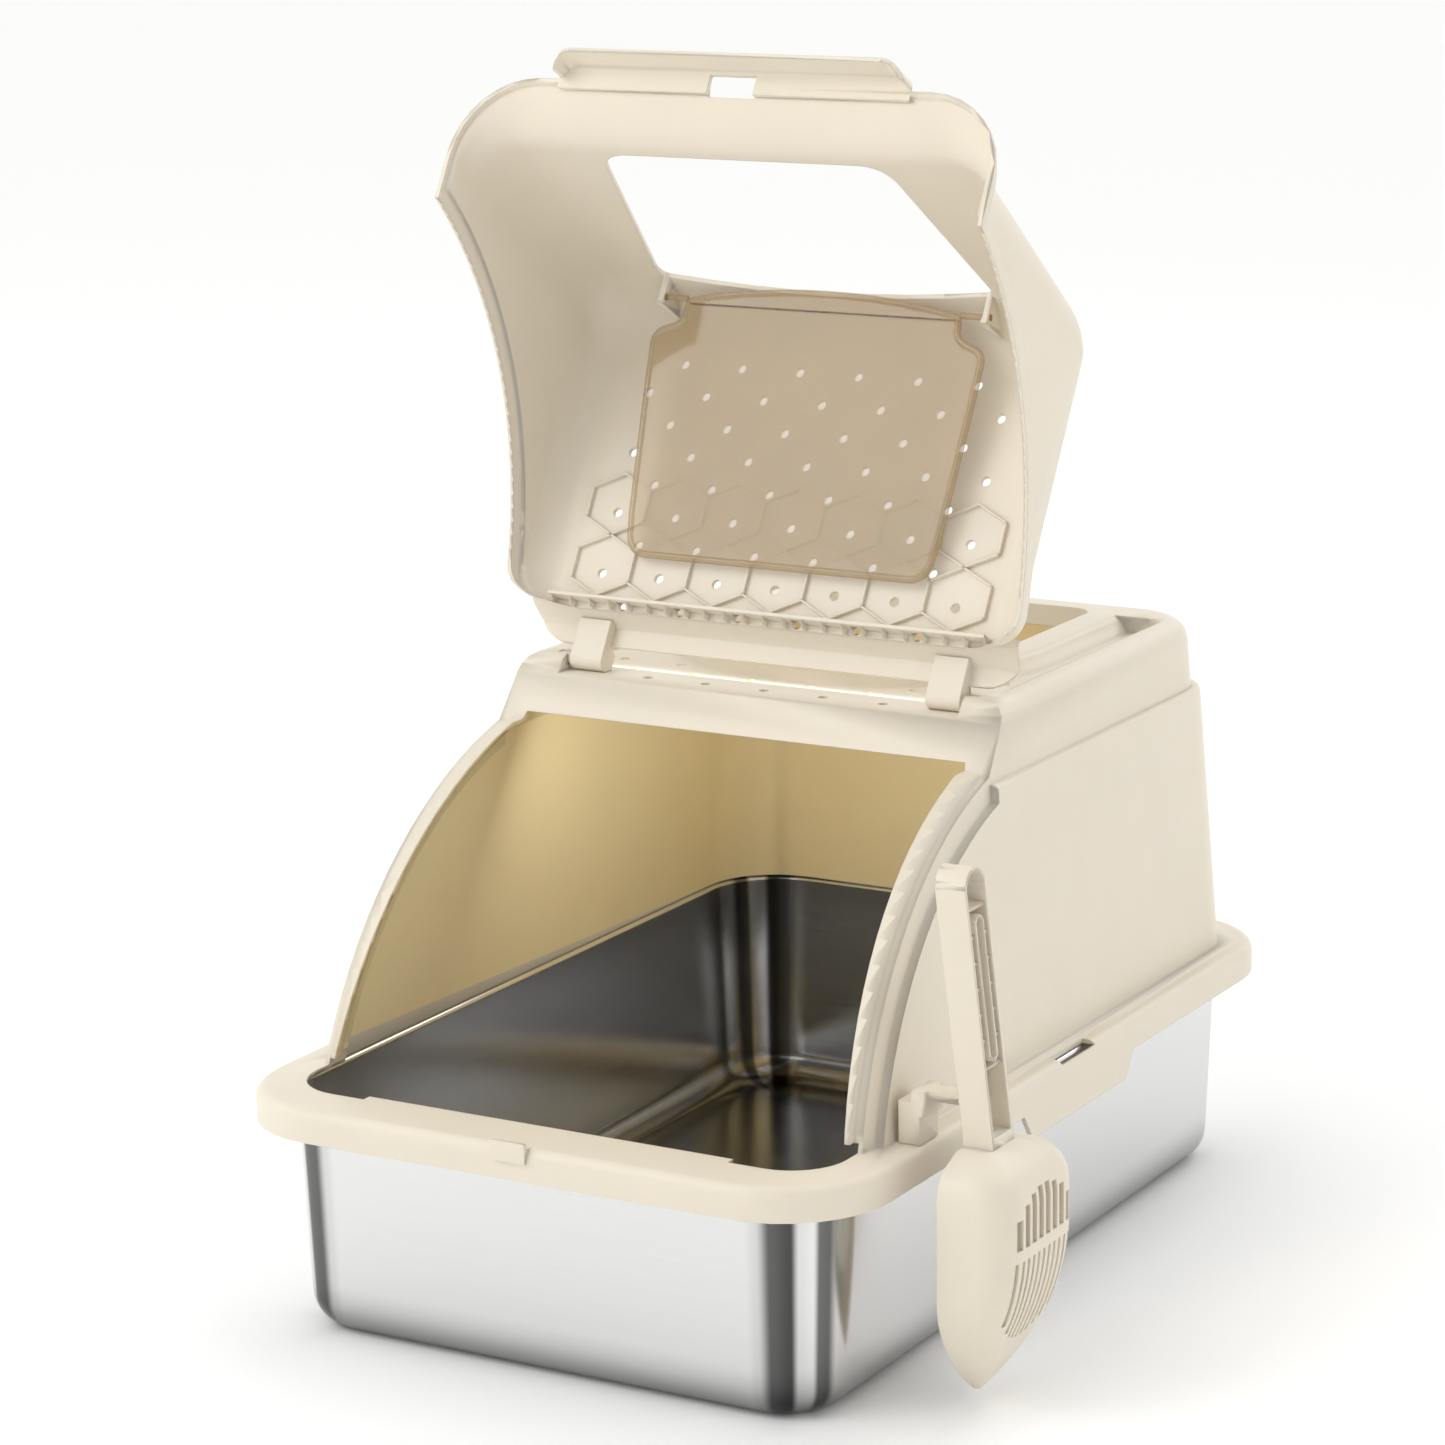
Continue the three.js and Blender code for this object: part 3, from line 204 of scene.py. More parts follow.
class PanSizes(PropertyGroup):
    flange: FloatProperty(name="Flange", description="Width of the rim turned out round the pan",
                          default=14.0 * MM, unit="LENGTH")
    draft: FloatProperty(name="Draft", description="How much narrower each side is at the floor",
                         default=6.0 * MM, unit="LENGTH")
    floor_radius: FloatProperty(name="Floor radius", description="Round between wall and floor",
                                default=20.0 * MM, unit="LENGTH")
    corner_radius: FloatProperty(name="Corner radius", description="Upright corners of the pan",
                                 default=46.0 * MM, unit="LENGTH")
    lip: FloatProperty(name="Lip", description="How far the rim's outer edge is turned down",
                       default=6.0 * MM, unit="LENGTH")
    sheet: FloatProperty(name="Sheet", description="Thickness of the steel sheet",
                         default=1.2 * MM, unit="LENGTH")
    colour: FloatVectorProperty(name="Steel", description="Colour of the polished steel",
                                default=srgb("#E0E0E0")[:3], size=3, subtype="COLOR")


class ShellFinish(PropertyGroup):
    colour: FloatVectorProperty(name="Cream", description="Colour of the moulded plastic",
                                default=srgb("#E1D8C6")[:3], size=3, subtype="COLOR")
    # Painted light: a warmer, more saturated cream for the faces inside the hood, standing in for
    # light that soaks through the walls and bounces between them
    painted_light_inner_colour: FloatVectorProperty(name="Inner cream", description="Colour inside the hood",
                                      default=srgb("#F9E7B6")[:3], size=3, subtype="COLOR")
    roughness: FloatProperty(name="Roughness", description="How matt the moulded skin is",
                             default=0.42, min=0, max=1, subtype="FACTOR")
    edge_round: FloatProperty(name="Edge round", description="Radius the moulded edges show",
                              default=1.0 * MM, unit="LENGTH")


class RibSizes(PropertyGroup):
    pitch: FloatProperty(name="Cell width", description="Width of a honeycomb cell",
                         default=39.6 * MM, unit="LENGTH")
    cell: FloatProperty(name="Cell height", description="Tip to tip length of a honeycomb cell",
                        default=39.0 * MM, unit="LENGTH")
    thickness: FloatProperty(name="Rib thickness", description="Thickness of a rib",
                             default=1.5 * MM, unit="LENGTH")
    height: FloatProperty(name="Rib height", description="How far a rib stands off the lid",
                          default=2.8 * MM, unit="LENGTH")
    columns: IntProperty(name="Columns", description="Honeycomb cells across the lid",
                         default=7, min=1)


class FlapSizes(PropertyGroup):
    length: FloatProperty(name="Length", description="From the pins to the lower edge",
                          default=160.0 * MM, unit="LENGTH")
    sheet: FloatProperty(name="Sheet", description="Thickness of the clear sheet",
                         default=1.8 * MM, unit="LENGTH")
    bead: FloatProperty(name="Bead", description="Thickness of the raised border",
                        default=3.6 * MM, unit="LENGTH")
    colour: FloatVectorProperty(name="Smoke", description="Tint of the clear plastic",
                                default=srgb("#A98C5A")[:3], size=3, subtype="COLOR")
    opacity: FloatProperty(name="Opacity", description="How much of the tint the sheet keeps",
                           default=0.44, min=0, max=1, subtype="FACTOR")


class StudioSettings(PropertyGroup):
    distance: FloatProperty(name="Distance", description="Camera to the middle of the box",
                            default=2.68, unit="LENGTH")
    azimuth: FloatProperty(name="Azimuth", description="How far round to the right the camera is",
                           default=math.radians(30.1), subtype="ANGLE")
    tilt: FloatProperty(name="Tilt", description="How far down the camera looks",
                        default=math.radians(13.14), subtype="ANGLE")
    roll: FloatProperty(name="Roll", description="Turn of the camera about its own axis",
                        default=math.radians(-0.83), subtype="ANGLE")
    lens: FloatProperty(name="Lens", description="Focal length in millimetres",
                        default=110.59, min=10)
    key: FloatProperty(name="Key light", description="Power of the large soft light",
                       default=30.0, unit="POWER")


# ---- Finishes --------------------------------------------------------------------------------


def moulded_polypropylene(name, colour, roughness, edge_round):
    """Injection-moulded polypropylene: a fine spark-eroded grain, a soft sheen and milky depth.

    The grain breaks the highlights, the slow mottling keeps large walls from looking flat, and
    the rounded edges catch a thin light line, as moulded edges do.
    """
    material, tree, shader = new_material(name)
    place = add_node(tree, "ShaderNodeTexCoord").outputs["Object"]
    # Flow marks: 60 mm wide, barely lighter and darker than the base colour
    flow = add_node(tree, "ShaderNodeTexNoise", inputs={
        "Vector": place, "Scale": 1 / (60 * MM), "Detail": 3.0, "Roughness": 0.55})
    tint = add_node(tree, "ShaderNodeMix", {"data_type": "RGBA"}, {
        0: flow.outputs[0], **spread(colour, 0.955, 1.03)})
    # Grain of the mould: real grain is 0.1 mm, drawn at 1.2 mm so that it shows
    grain = add_node(tree, "ShaderNodeTexNoise", inputs={
        "Vector": place, "Scale": 1 / (1.2 * MM), "Detail": 2.0, "Roughness": 0.6})
    # Slight unevenness of a thin moulded wall, about 90 mm from hollow to hollow
    sink = add_node(tree, "ShaderNodeTexNoise", inputs={
        "Vector": place, "Scale": 1 / (90 * MM), "Detail": 1.0})
    sheen = add_node(tree, "ShaderNodeMapRange", inputs={
        "Value": grain.outputs[0], "To Min": roughness - 0.05, "To Max": roughness + 0.07})
    edge = add_node(tree, "ShaderNodeBevel", {"samples": 4}, {"Radius": edge_round})
    wave = add_node(tree, "ShaderNodeBump", inputs={
        "Strength": 0.25, "Distance": 0.6 * MM, "Height": sink.outputs[0],
        "Normal": edge.outputs[0]})
    skin = add_node(tree, "ShaderNodeBump", inputs={
        "Strength": 0.05, "Distance": 0.06 * MM, "Height": grain.outputs[0],
        "Normal": wave.outputs[0]})
    tree.links.new(tint.outputs[2], shader.inputs["Base Color"])
    tree.links.new(sheen.outputs[0], shader.inputs["Roughness"])
    tree.links.new(skin.outputs[0], shader.inputs["Normal"])
    shader.inputs["IOR"].default_value = 1.49
    shader.inputs["Subsurface Weight"].default_value = 0.12
    shader.inputs["Subsurface Radius"].default_value = (0.9, 0.6, 0.35)
    shader.inputs["Subsurface Scale"].default_value = 2.5 * MM
    return material


def polished_stainless(name, colour, corner):
    """Pressed stainless sheet, polished: mirror-like, with fine marks from the polishing belt.

    The marks run along the walls and smear reflections sideways, and the sheet's faint waviness
    bends them, so the walls read as pressed sheet and not as a perfect mirror.
    """
    material, tree, shader = new_material(name)
    place = add_node(tree, "ShaderNodeTexCoord").outputs["Object"]
    # Belt marks: real ones are hair-fine, drawn 0.5 mm apart and 50 mm long so that they show
    along = add_node(tree, "ShaderNodeMapping", inputs={
        "Vector": place, "Scale": (1 / (50 * MM), 1 / (50 * MM), 1 / (0.5 * MM))})
    marks = add_node(tree, "ShaderNodeTexNoise", inputs={
        "Vector": along.outputs[0], "Scale": 1.0, "Detail": 3.0, "Roughness": 0.6})
    # Waviness of the sheet, 110 mm from hollow to hollow
    dents = add_node(tree, "ShaderNodeTexNoise", inputs={
        "Vector": place, "Scale": 1 / (110 * MM), "Detail": 1.0})
    shine = add_node(tree, "ShaderNodeMapRange", inputs={
        "Value": marks.outputs[0], "To Min": 0.13, "To Max": 0.24})
    tone = add_node(tree, "ShaderNodeMix", {"data_type": "RGBA"}, {
        0: marks.outputs[0], **spread(colour, 0.94, 1.04)})
    # Painted reflection: upright dark and bright bands round each corner, standing in for what the
    # polished corners reflect
    split = add_node(tree, "ShaderNodeSeparateXYZ", inputs={0: place}).outputs
    beyond = []
    for axis, centre in zip("XY", corner):
        size = add_node(tree, "ShaderNodeMath", {"operation": "ABSOLUTE"}, {0: split[axis]})
        past = add_node(tree, "ShaderNodeMath", {"operation": "SUBTRACT"}, {
            0: size.outputs[0], 1: centre})
        beyond.append(add_node(tree, "ShaderNodeMath", {"operation": "MAXIMUM"}, {
            0: past.outputs[0], 1: 0.0}).outputs[0])
    turn = add_node(tree, "ShaderNodeMath", {"operation": "ARCTAN2"}, {
        0: beyond[0], 1: beyond[1]})
    part = add_node(tree, "ShaderNodeMapRange", inputs={
        "Value": turn.outputs[0], "From Max": math.pi / 2}).outputs[0]
    bands = add_node(tree, "ShaderNodeValToRGB", inputs={0: part})
    bands.color_ramp.interpolation = "EASE"
    set_greys(bands.color_ramp, (
        (0.0, 1.0), (0.10, 0.86), (0.22, 0.16), (0.38, 0.10), (0.45, 0.9), (0.56, 1.0),
        (0.62, 0.2), (0.70, 0.18), (0.80, 0.85), (1.0, 1.0)))
    # Painted shade: the steel is made darker towards the floor, over the round at its foot,
    # standing in for the shaded floor it reflects there
    foot = add_node(tree, "ShaderNodeMapRange", {"interpolation_type": "SMOOTHSTEP"}, {
        "Value": split["Z"], "From Min": 2 * MM, "From Max": 34 * MM,
        "To Min": 0.42, "To Max": 1.0}).outputs[0]
    # Multiplies the painted corner reflection bands into the steel's colour
    painted_corner_reflections = add_node(tree, "ShaderNodeMix", {"data_type": "RGBA", "blend_type": "MULTIPLY"}, {
        0: 1.0, 6: tone.outputs[2], 7: bands.outputs[0]})
    # Multiplies the painted shade towards the floor into the colour
    low = add_node(tree, "ShaderNodeMix", {"data_type": "RGBA", "blend_type": "MULTIPLY"}, {
        0: 1.0, 6: painted_corner_reflections.outputs[2], 7: foot})
    wavy = add_node(tree, "ShaderNodeBump", inputs={
        "Strength": 0.3, "Distance": 0.5 * MM, "Height": dents.outputs[0]})
    lines = add_node(tree, "ShaderNodeBump", inputs={
        "Strength": 0.05, "Distance": 0.05 * MM, "Height": marks.outputs[0],
        "Normal": wavy.outputs[0]})
    tree.links.new(low.outputs[2], shader.inputs["Base Color"])
    tree.links.new(shine.outputs[0], shader.inputs["Roughness"])
    tree.links.new(lines.outputs[0], shader.inputs["Normal"])
    shader.inputs["Metallic"].default_value = 1.0
    shader.inputs["Anisotropic"].default_value = 0.35
    return material


def smoke_polystyrene(name, colour, opacity):
    """Clear moulded polystyrene with a smoke tint: glossy, and the lid shows through it."""
    material, tree, shader = new_material(name)
    place = add_node(tree, "ShaderNodeTexCoord").outputs["Object"]
    # Flow of the melt, 45 mm wide: a slightly uneven tint and a faint ripple in reflections
    flow = add_node(tree, "ShaderNodeTexNoise", inputs={
        "Vector": place, "Scale": 1 / (45 * MM), "Detail": 2.0})
    tint = add_node(tree, "ShaderNodeMix", {"data_type": "RGBA"}, {
        0: flow.outputs[0], **spread(colour, 0.9, 1.1)})
    # Fine handling marks, 3 mm apart, that soften the gloss here and there
    marks = add_node(tree, "ShaderNodeTexNoise", inputs={
        "Vector": place, "Scale": 1 / (3 * MM), "Detail": 4.0})
    gloss = add_node(tree, "ShaderNodeMapRange", inputs={
        "Value": marks.outputs[0], "To Min": 0.07, "To Max": 0.085})
    ripple = add_node(tree, "ShaderNodeBump", inputs={
        "Strength": 0.08, "Distance": 0.4 * MM, "Height": flow.outputs[0]})
    tree.links.new(tint.outputs[2], shader.inputs["Base Color"])
    tree.links.new(gloss.outputs[0], shader.inputs["Roughness"])
    tree.links.new(ripple.outputs[0], shader.inputs["Normal"])
    shader.inputs["IOR"].default_value = 1.59
    shader.inputs["Alpha"].default_value = opacity
    shader.inputs["Coat Weight"].default_value = 0.5
    return material


def cream_finish():
    """The cream plastic, made once and shared by every cream piece."""
    settings = bpy.context.scene.shell_finish
    found = bpy.data.materials.get("cream_polypropylene")
    return found or moulded_polypropylene("cream_polypropylene", settings.colour,
                                          settings.roughness, settings.edge_round)


def painted_light_inner_finish():
    """The same plastic inside the hood, painted warmer and more saturated: painted light, standing
    in for light that has soaked through the walls and bounced between them.
    """
    settings = bpy.context.scene.shell_finish
    return moulded_polypropylene("cream_polypropylene_inside_painted_light", settings.painted_light_inner_colour,
                                 settings.roughness + 0.08, settings.edge_round)


def colour_inside(piece, material, low, high):
    """Gives a second finish to the faces inside a box that look towards its middle."""
    level_share = 0.4  # height counts for less, so that walls and ceiling are told from outsides
    least_facing = 0.05
    mesh = piece.data
    mesh.materials.append(material)
    middle = (low + high) / 2
    for face in mesh.polygons:
        place = face.center
        held = all(low[i] < place[i] < high[i] for i in range(3))
        inward = middle - place
        inward.z *= level_share
        if held and face.normal.dot(inward.normalized()) > least_facing:
            face.material_index = 1


def shell_copy(node, name):
    """A joined and smoothed copy of a moulding's own shape."""
    mesh = frame["nodes"][node].data.copy()
    bm = bmesh.new()
    bm.from_mesh(mesh)
    bmesh.ops.remove_doubles(bm, verts=bm.verts, dist=0.002 * MM)
    bmesh.ops.dissolve_degenerate(bm, edges=bm.edges, dist=0.01 * MM)
    return smooth_edges(mesh_object(name, bm))


# ---- Pieces ----------------------------------------------------------------------------------


class LITTERBOX_OT_pan(Operator):
    """Pressed steel pan with a rolled rim"""
    bl_idname = "litterbox.pan"
    bl_label = "Steel pan"

    def execute(self, context):
        sizes = context.scene.pan_sizes
        height = PAN_HIGH.z
        half_x = PAN_HIGH.x - sizes.flange
        half_y = PAN_HIGH.y - sizes.flange
        sheet = sizes.sheet
        bend = 2.5 * MM  # inner radius of the rim's two bends
        floor_round = sizes.floor_radius
        walls = [(-sizes.draft * (1 - part), height * part) for part in (0.35, 0.6, 0.82)]
        foot = -sizes.draft * (1 - floor_round / height) - floor_round
        lip_in = sizes.flange - sheet
        bend_z = height - sheet - bend

        outside = arc((foot, floor_round), floor_round, -90, 0, 12) + walls
        outside += arc((bend, bend_z), bend, 180, 90, 6)
        outside += arc((lip_in - bend, bend_z), bend, 90, 0, 6)
        outside += [(lip_in, height - sizes.lip)]
        rolled = arc((sizes.flange - sheet / 2, height - sizes.lip), sheet / 2, 180, 360, 6)
        top = arc((lip_in - bend, bend_z), bend + sheet, 0, 90, 8)
        top += arc((bend, bend_z), bend + sheet, 90, 180, 8)
        inside = [(reach - sheet, z) for reach, z in reversed(walls)]
        inside += arc((foot, floor_round), floor_round - sheet, 0, -90, 12)
        profile = outside + rolled[1:] + top + inside

        bm = bmesh.new()
        rings = []
        for reach, z in profile:
            ring = rounded_rectangle(half_x + reach, half_y + reach,
                                     sizes.corner_radius + reach, 20)
            rings.append([bm.verts.new((x, y, z)) for x, y in ring])
        bridge_rings(bm, rings)
        bm.faces.new(list(reversed(rings[0])))
        bm.faces.new(rings[-1])
        bmesh.ops.remove_doubles(bm, verts=bm.verts, dist=0.01 * MM)
        bmesh.ops.recalc_face_normals(bm, faces=bm.faces)
        pan = smooth_edges(mesh_object("steel_pan_pressing", bm), 40)
        # Centres of the upright corner rounds, round which the steel's finish paints its
        # reflection bands
        corner = (half_x - sizes.corner_radius, half_y - sizes.corner_radius)
        steel = polished_stainless("polished_stainless_steel", sizes.colour, corner)
        finish_piece(pan, steel, "pan", "stainless_steel", "steel_pan")
        return {"FINISHED"}


class LITTERBOX_OT_hood(Operator):
    """Hood moulding with its rim, walls and deck"""
    bl_idname = "litterbox.hood"
    bl_label = "Hood"

    def execute(self, context):
        hood = shell_copy("hood", "hood_moulding")
        finish_piece(hood, cream_finish(), "hood", "cream_plastic", "hood")
        low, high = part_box("hood")
        # From the rim's edge in to the walls at the sides, front and rear; from the pan's rim up
        # past the ledge; and from the deck down
        side, front, rear, above, under = (gap * MM for gap in (22, 60, 26, 8, 12))
        # The faces inside the hood get the painted-light copy of the cream
        colour_inside(hood, painted_light_inner_finish(),
                      Vector((low.x + side, low.y + front, PAN_HIGH.z + above)),
                      Vector((high.x - side, high.y - rear, high.z - under)))
        return {"FINISHED"}


class LITTERBOX_OT_lid(Operator):
    """Entrance lid moulding"""
    bl_idname = "litterbox.lid"
    bl_label = "Entrance lid"

    def execute(self, context):
        lid = shell_copy("entrance_lid", "entrance_lid_moulding")
        finish_piece(lid, cream_finish(), "lid", "cream_plastic", "entrance_lid")
        return {"FINISHED"}


def honeycomb_tree(material):
    """Low ribs that cross a panel in a honeycomb: zigzags joined by short straight ribs."""
    tree = bpy.data.node_groups.new("honeycomb_ribs", "GeometryNodeTree")
    tree.interface.new_socket("Geometry", in_out="OUTPUT", socket_type="NodeSocketGeometry")
    for name in ("Pitch", "Cell", "Thickness", "Height"):
        tree.interface.new_socket(name, in_out="INPUT", socket_type="NodeSocketFloat")
    tree.interface.new_socket("Columns", in_out="INPUT", socket_type="NodeSocketInt")
    given = add_node(tree, "NodeGroupInput").outputs
    pitch, cell, columns = given["Pitch"], given["Cell"], given["Columns"]
    half_pitch = add_node(tree, "ShaderNodeMath", {"operation": "DIVIDE"}, {
        0: pitch, 1: 2.0}).outputs[0]
    quarter = add_node(tree, "ShaderNodeMath", {"operation": "DIVIDE"}, {
        0: cell, 1: 4.0}).outputs[0]
    points = add_node(tree, "ShaderNodeMath", {"operation": "MULTIPLY_ADD"}, {
        0: columns, 1: 2.0, 2: 1.0}).outputs[0]
    corners = add_node(tree, "ShaderNodeMath", {"operation": "ADD"}, {
        0: columns, 1: 1.0}).outputs[0]
    width = add_node(tree, "ShaderNodeMath", {"operation": "MULTIPLY"}, {
        0: columns, 1: pitch}).outputs[0]
    left = add_node(tree, "ShaderNodeMath", {"operation": "DIVIDE"}, {
        0: width, 1: -2.0}).outputs[0]
    index = add_node(tree, "GeometryNodeInputIndex").outputs[0]
    odd = add_node(tree, "ShaderNodeMath", {"operation": "MODULO"}, {0: index, 1: 2.0}).outputs[0]
    section = add_node(tree, "GeometryNodeCurvePrimitiveQuadrilateral", inputs={
        "Width": given["Thickness"], "Height": given["Height"]}).outputs[0]

    # One zigzag, a quarter cell from hollow to tip
    start = add_node(tree, "ShaderNodeCombineXYZ", inputs={"X": left}).outputs[0]
    along = add_node(tree, "ShaderNodeCombineXYZ", inputs={"X": half_pitch}).outputs[0]
    line = add_node(tree, "GeometryNodeMeshLine", inputs={
        "Count": points, "Start Location": start, "Offset": along}).outputs[0]
    centred = add_node(tree, "ShaderNodeMath", {"operation": "SUBTRACT"}, {
        0: odd, 1: 0.5}).outputs[0]
    swing = add_node(tree, "ShaderNodeMath", {"operation": "MULTIPLY"}, {
        0: centred, 1: quarter}).outputs[0]
    aside = add_node(tree, "ShaderNodeCombineXYZ", inputs={"Y": swing}).outputs[0]
    zigzag = add_node(tree, "GeometryNodeSetPosition", inputs={
        "Geometry": line, "Offset": aside}).outputs[0]

    # A straight rib as long as half a cell, to stand between two zigzags
    half_cell = add_node(tree, "ShaderNodeMath", {"operation": "DIVIDE"}, {
        0: cell, 1: 2.0}).outputs[0]
    rise = add_node(tree, "ShaderNodeCombineXYZ", inputs={"Y": half_cell}).outputs[0]
    lower = add_node(tree, "ShaderNodeVectorMath", {"operation": "SCALE"}, {
        0: rise, "Scale": -0.5}).outputs[0]
    stem = add_node(tree, "GeometryNodeMeshLine", inputs={
        "Count": 2, "Start Location": lower, "Offset": rise}).outputs[0]

    ribs = []
    for path in (zigzag, stem):
        curve = add_node(tree, "GeometryNodeMeshToCurve", inputs={"Mesh": path}).outputs[0]
        ribs.append(add_node(tree, "GeometryNodeCurveToMesh", inputs={
            "Curve": curve, "Profile Curve": section, "Fill Caps": True}).outputs[0])

    # Four zigzags, every second one turned half round so that the tips meet
    couple = add_node(tree, "ShaderNodeMath", {"operation": "DIVIDE"}, {
        0: index, 1: 2.0}).outputs[0]
    whole = add_node(tree, "ShaderNodeMath", {"operation": "FLOOR"}, {0: couple}).outputs[0]
    step = add_node(tree, "ShaderNodeMath", {"operation": "MULTIPLY"}, {
        0: whole, 1: cell}).outputs[0]
    most = add_node(tree, "ShaderNodeMath", {"operation": "MULTIPLY"}, {
        0: cell, 1: 0.75}).outputs[0]
    across = add_node(tree, "ShaderNodeMath", {"operation": "MULTIPLY_ADD"}, {
        0: odd, 1: most, 2: step}).outputs[0]
    row_place = add_node(tree, "ShaderNodeCombineXYZ", inputs={"Y": across}).outputs[0]
    rows = add_node(tree, "GeometryNodeMeshLine", inputs={
        "Count": 4, "Offset": (0, 0, 0)}).outputs[0]
    rows = add_node(tree, "GeometryNodeSetPosition", inputs={
        "Geometry": rows, "Offset": row_place}).outputs[0]
    half_turn = add_node(tree, "ShaderNodeMath", {"operation": "MULTIPLY_ADD"}, {
        0: odd, 1: -math.pi, 2: math.pi}).outputs[0]
    turn = add_node(tree, "ShaderNodeCombineXYZ", inputs={"Z": half_turn}).outputs[0]
    zigzags = add_node(tree, "GeometryNodeInstanceOnPoints", inputs={
        "Points": rows, "Instance": ribs[0], "Rotation": turn}).outputs[0]

    # Straight ribs between the zigzags of a row
    grid = add_node(tree, "GeometryNodeMeshGrid", inputs={
        "Size X": width, "Size Y": cell, "Vertices X": corners, "Vertices Y": 2}).outputs[0]
    middle = add_node(tree, "ShaderNodeMath", {"operation": "MULTIPLY"}, {
        0: cell, 1: 0.875}).outputs[0]
    lift = add_node(tree, "ShaderNodeCombineXYZ", inputs={"Y": middle}).outputs[0]
    grid = add_node(tree, "GeometryNodeSetPosition", inputs={
        "Geometry": grid, "Offset": lift}).outputs[0]
    bars = add_node(tree, "GeometryNodeInstanceOnPoints", inputs={
        "Points": grid, "Instance": ribs[1]}).outputs[0]

    joined = add_node(tree, "GeometryNodeJoinGeometry")
    tree.links.new(zigzags, joined.inputs[0])
    tree.links.new(bars, joined.inputs[0])
    solid = add_node(tree, "GeometryNodeRealizeInstances",
                     inputs={"Geometry": joined.outputs[0]}).outputs[0]
    coloured = add_node(tree, "GeometryNodeSetMaterial", inputs={
        "Geometry": solid, "Material": material}).outputs[0]
    add_node(tree, "NodeGroupOutput", inputs={0: coloured})
    return tree


class LITTERBOX_OT_ribs(Operator):
    """Honeycomb ribs moulded on the lid's inner face"""
    bl_idname = "litterbox.ribs"
    bl_label = "Honeycomb ribs"

    def execute(self, context):
        sizes = context.scene.rib_sizes
        material = cream_finish()
        carrier = mesh_object("lid_honeycomb_ribs", bmesh.new())
        bake_nodes(carrier, honeycomb_tree(material), {
            "Pitch": sizes.pitch, "Cell": sizes.cell, "Thickness": sizes.thickness,
            "Height": sizes.height, "Columns": sizes.columns})
        # The tree draws the ribs flat; they lie on the shut lid's inner face, then open with it
        face_below_hinge = 13.6 * MM
        last_row_ahead = 109.2 * MM
        sunk = 0.3 * MM
        shut = Matrix.Translation((0, HINGE.y - last_row_ahead,
                                   HINGE.z - face_below_hinge - sizes.height / 2 + sunk))
        opened = (Matrix.Translation(HINGE) @ Matrix.Rotation(-OPEN_ANGLE, 4, "X")
                  @ Matrix.Translation(-HINGE))
        carrier.data.transform(opened @ shut)
        smooth_edges(carrier)
        finish_piece(carrier, material, "lid", "cream_plastic")
        return {"FINISHED"}


def flap_outline(length):
    """Half outline of the flap from the middle of its top edge down the right side."""
    neck_half, lip_rise, lip_foot = 92, 9.0, 1.0
    foot_half, foot_round = 103.2, 14.5
    side_top, side_half, side_slope = 36, 112, 0.0735
    lip = [(x * MM, (lip_rise * (1 - (x / neck_half) ** 2) + lip_foot) * MM)
           for x in range(0, neck_half, 12)]
    neck = [(91.6, 0.4), (92.6, -1.6), (93, -6), (93.4, -10.5), (95, -13.2), (98, -15.2),
            (102, -16.6), (106, -18), (109.6, -20.6), (111.6, -24), (112.2, -28), (111.7, -36)]
    sides = [(x * MM, z * MM) for x, z in neck]
    sides += [((side_half - (z - side_top) * side_slope) * MM, -z * MM)
              for z in range(50, 146, 12)]
    end = length / MM
    corner = arc((foot_half - foot_round, -(end - foot_round)), foot_round, 0, -90, 8)
    sides += [(x * MM, z * MM) for x, z in corner]
    return lip + sides


class LITTERBOX_OT_flap(Operator):
    """Smoky clear flap with its raised border and pins"""
    bl_idname = "litterbox.flap"
    bl_label = "Flap"

    def execute(self, context):
        sizes = context.scene.flap_sizes
        half = flap_outline(sizes.length)
        outline = half + [(-x, z) for x, z in reversed(half) if x > 0]
        count = len(outline)
        points = [Vector((x, 0, z)) for x, z in outline]
        inward = []
        for i in range(count):
            along = (points[(i + 1) % count] - points[i - 1]).normalized()
            inward.append(Vector((along.z, 0, -along.x)))

        def ring(bm, inset, thick):
            verts = []
            for point, side in zip(points, inward):
                place = point + side * inset
                verts.append(bm.verts.new((place.x, thick, place.z)))
            return verts

        sheet = sizes.sheet / 2
        bead = sizes.bead / 2
        profile = [(4.6, sheet), (4.0, sheet * 1.15), (3.4, bead * 0.9), (2.5, bead),
                   (1.2, bead * 0.94), (0.35, bead * 0.6), (0, 0)]
        profile += [(inset, -thick) for inset, thick in reversed(profile[:-1])]
        bm = bmesh.new()
        rings = [ring(bm, inset * MM, thick) for inset, thick in profile]
        bridge_rings(bm, rings)
        bm.faces.new(list(reversed(rings[0])))
        bm.faces.new(rings[-1])
        bmesh.ops.recalc_face_normals(bm, faces=bm.faces)
        pin_middle, pin_radius, pin_length = 101.5 * MM, 2 * MM, 19 * MM
        for side in (1, -1):
            pin = Matrix.Translation((side * pin_middle, 0, 0)) @ Matrix.Rotation(
                math.pi / 2, 4, "Y")
            bmesh.ops.create_cone(bm, cap_ends=True, segments=24, radius1=pin_radius,
                                  radius2=pin_radius, depth=pin_length, matrix=pin)
        low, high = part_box("flap")
        lip_above_pins = 9 * MM
        lean = math.asin((high.y - low.y - sizes.bead) / (sizes.length + lip_above_pins))
        place = Matrix.Translation(FLAP_PIN) @ Matrix.Rotation(-lean, 4, "X")
        bmesh.ops.transform(bm, matrix=place, verts=bm.verts)
        flap = smooth_edges(mesh_object("flap_clear_panel", bm), 50)
        smoke = smoke_polystyrene("smoke_polystyrene", sizes.colour, sizes.opacity)
        finish_piece(flap, smoke, "flap", "smoke_clear_plastic", "flap")
        return {"FINISHED"}


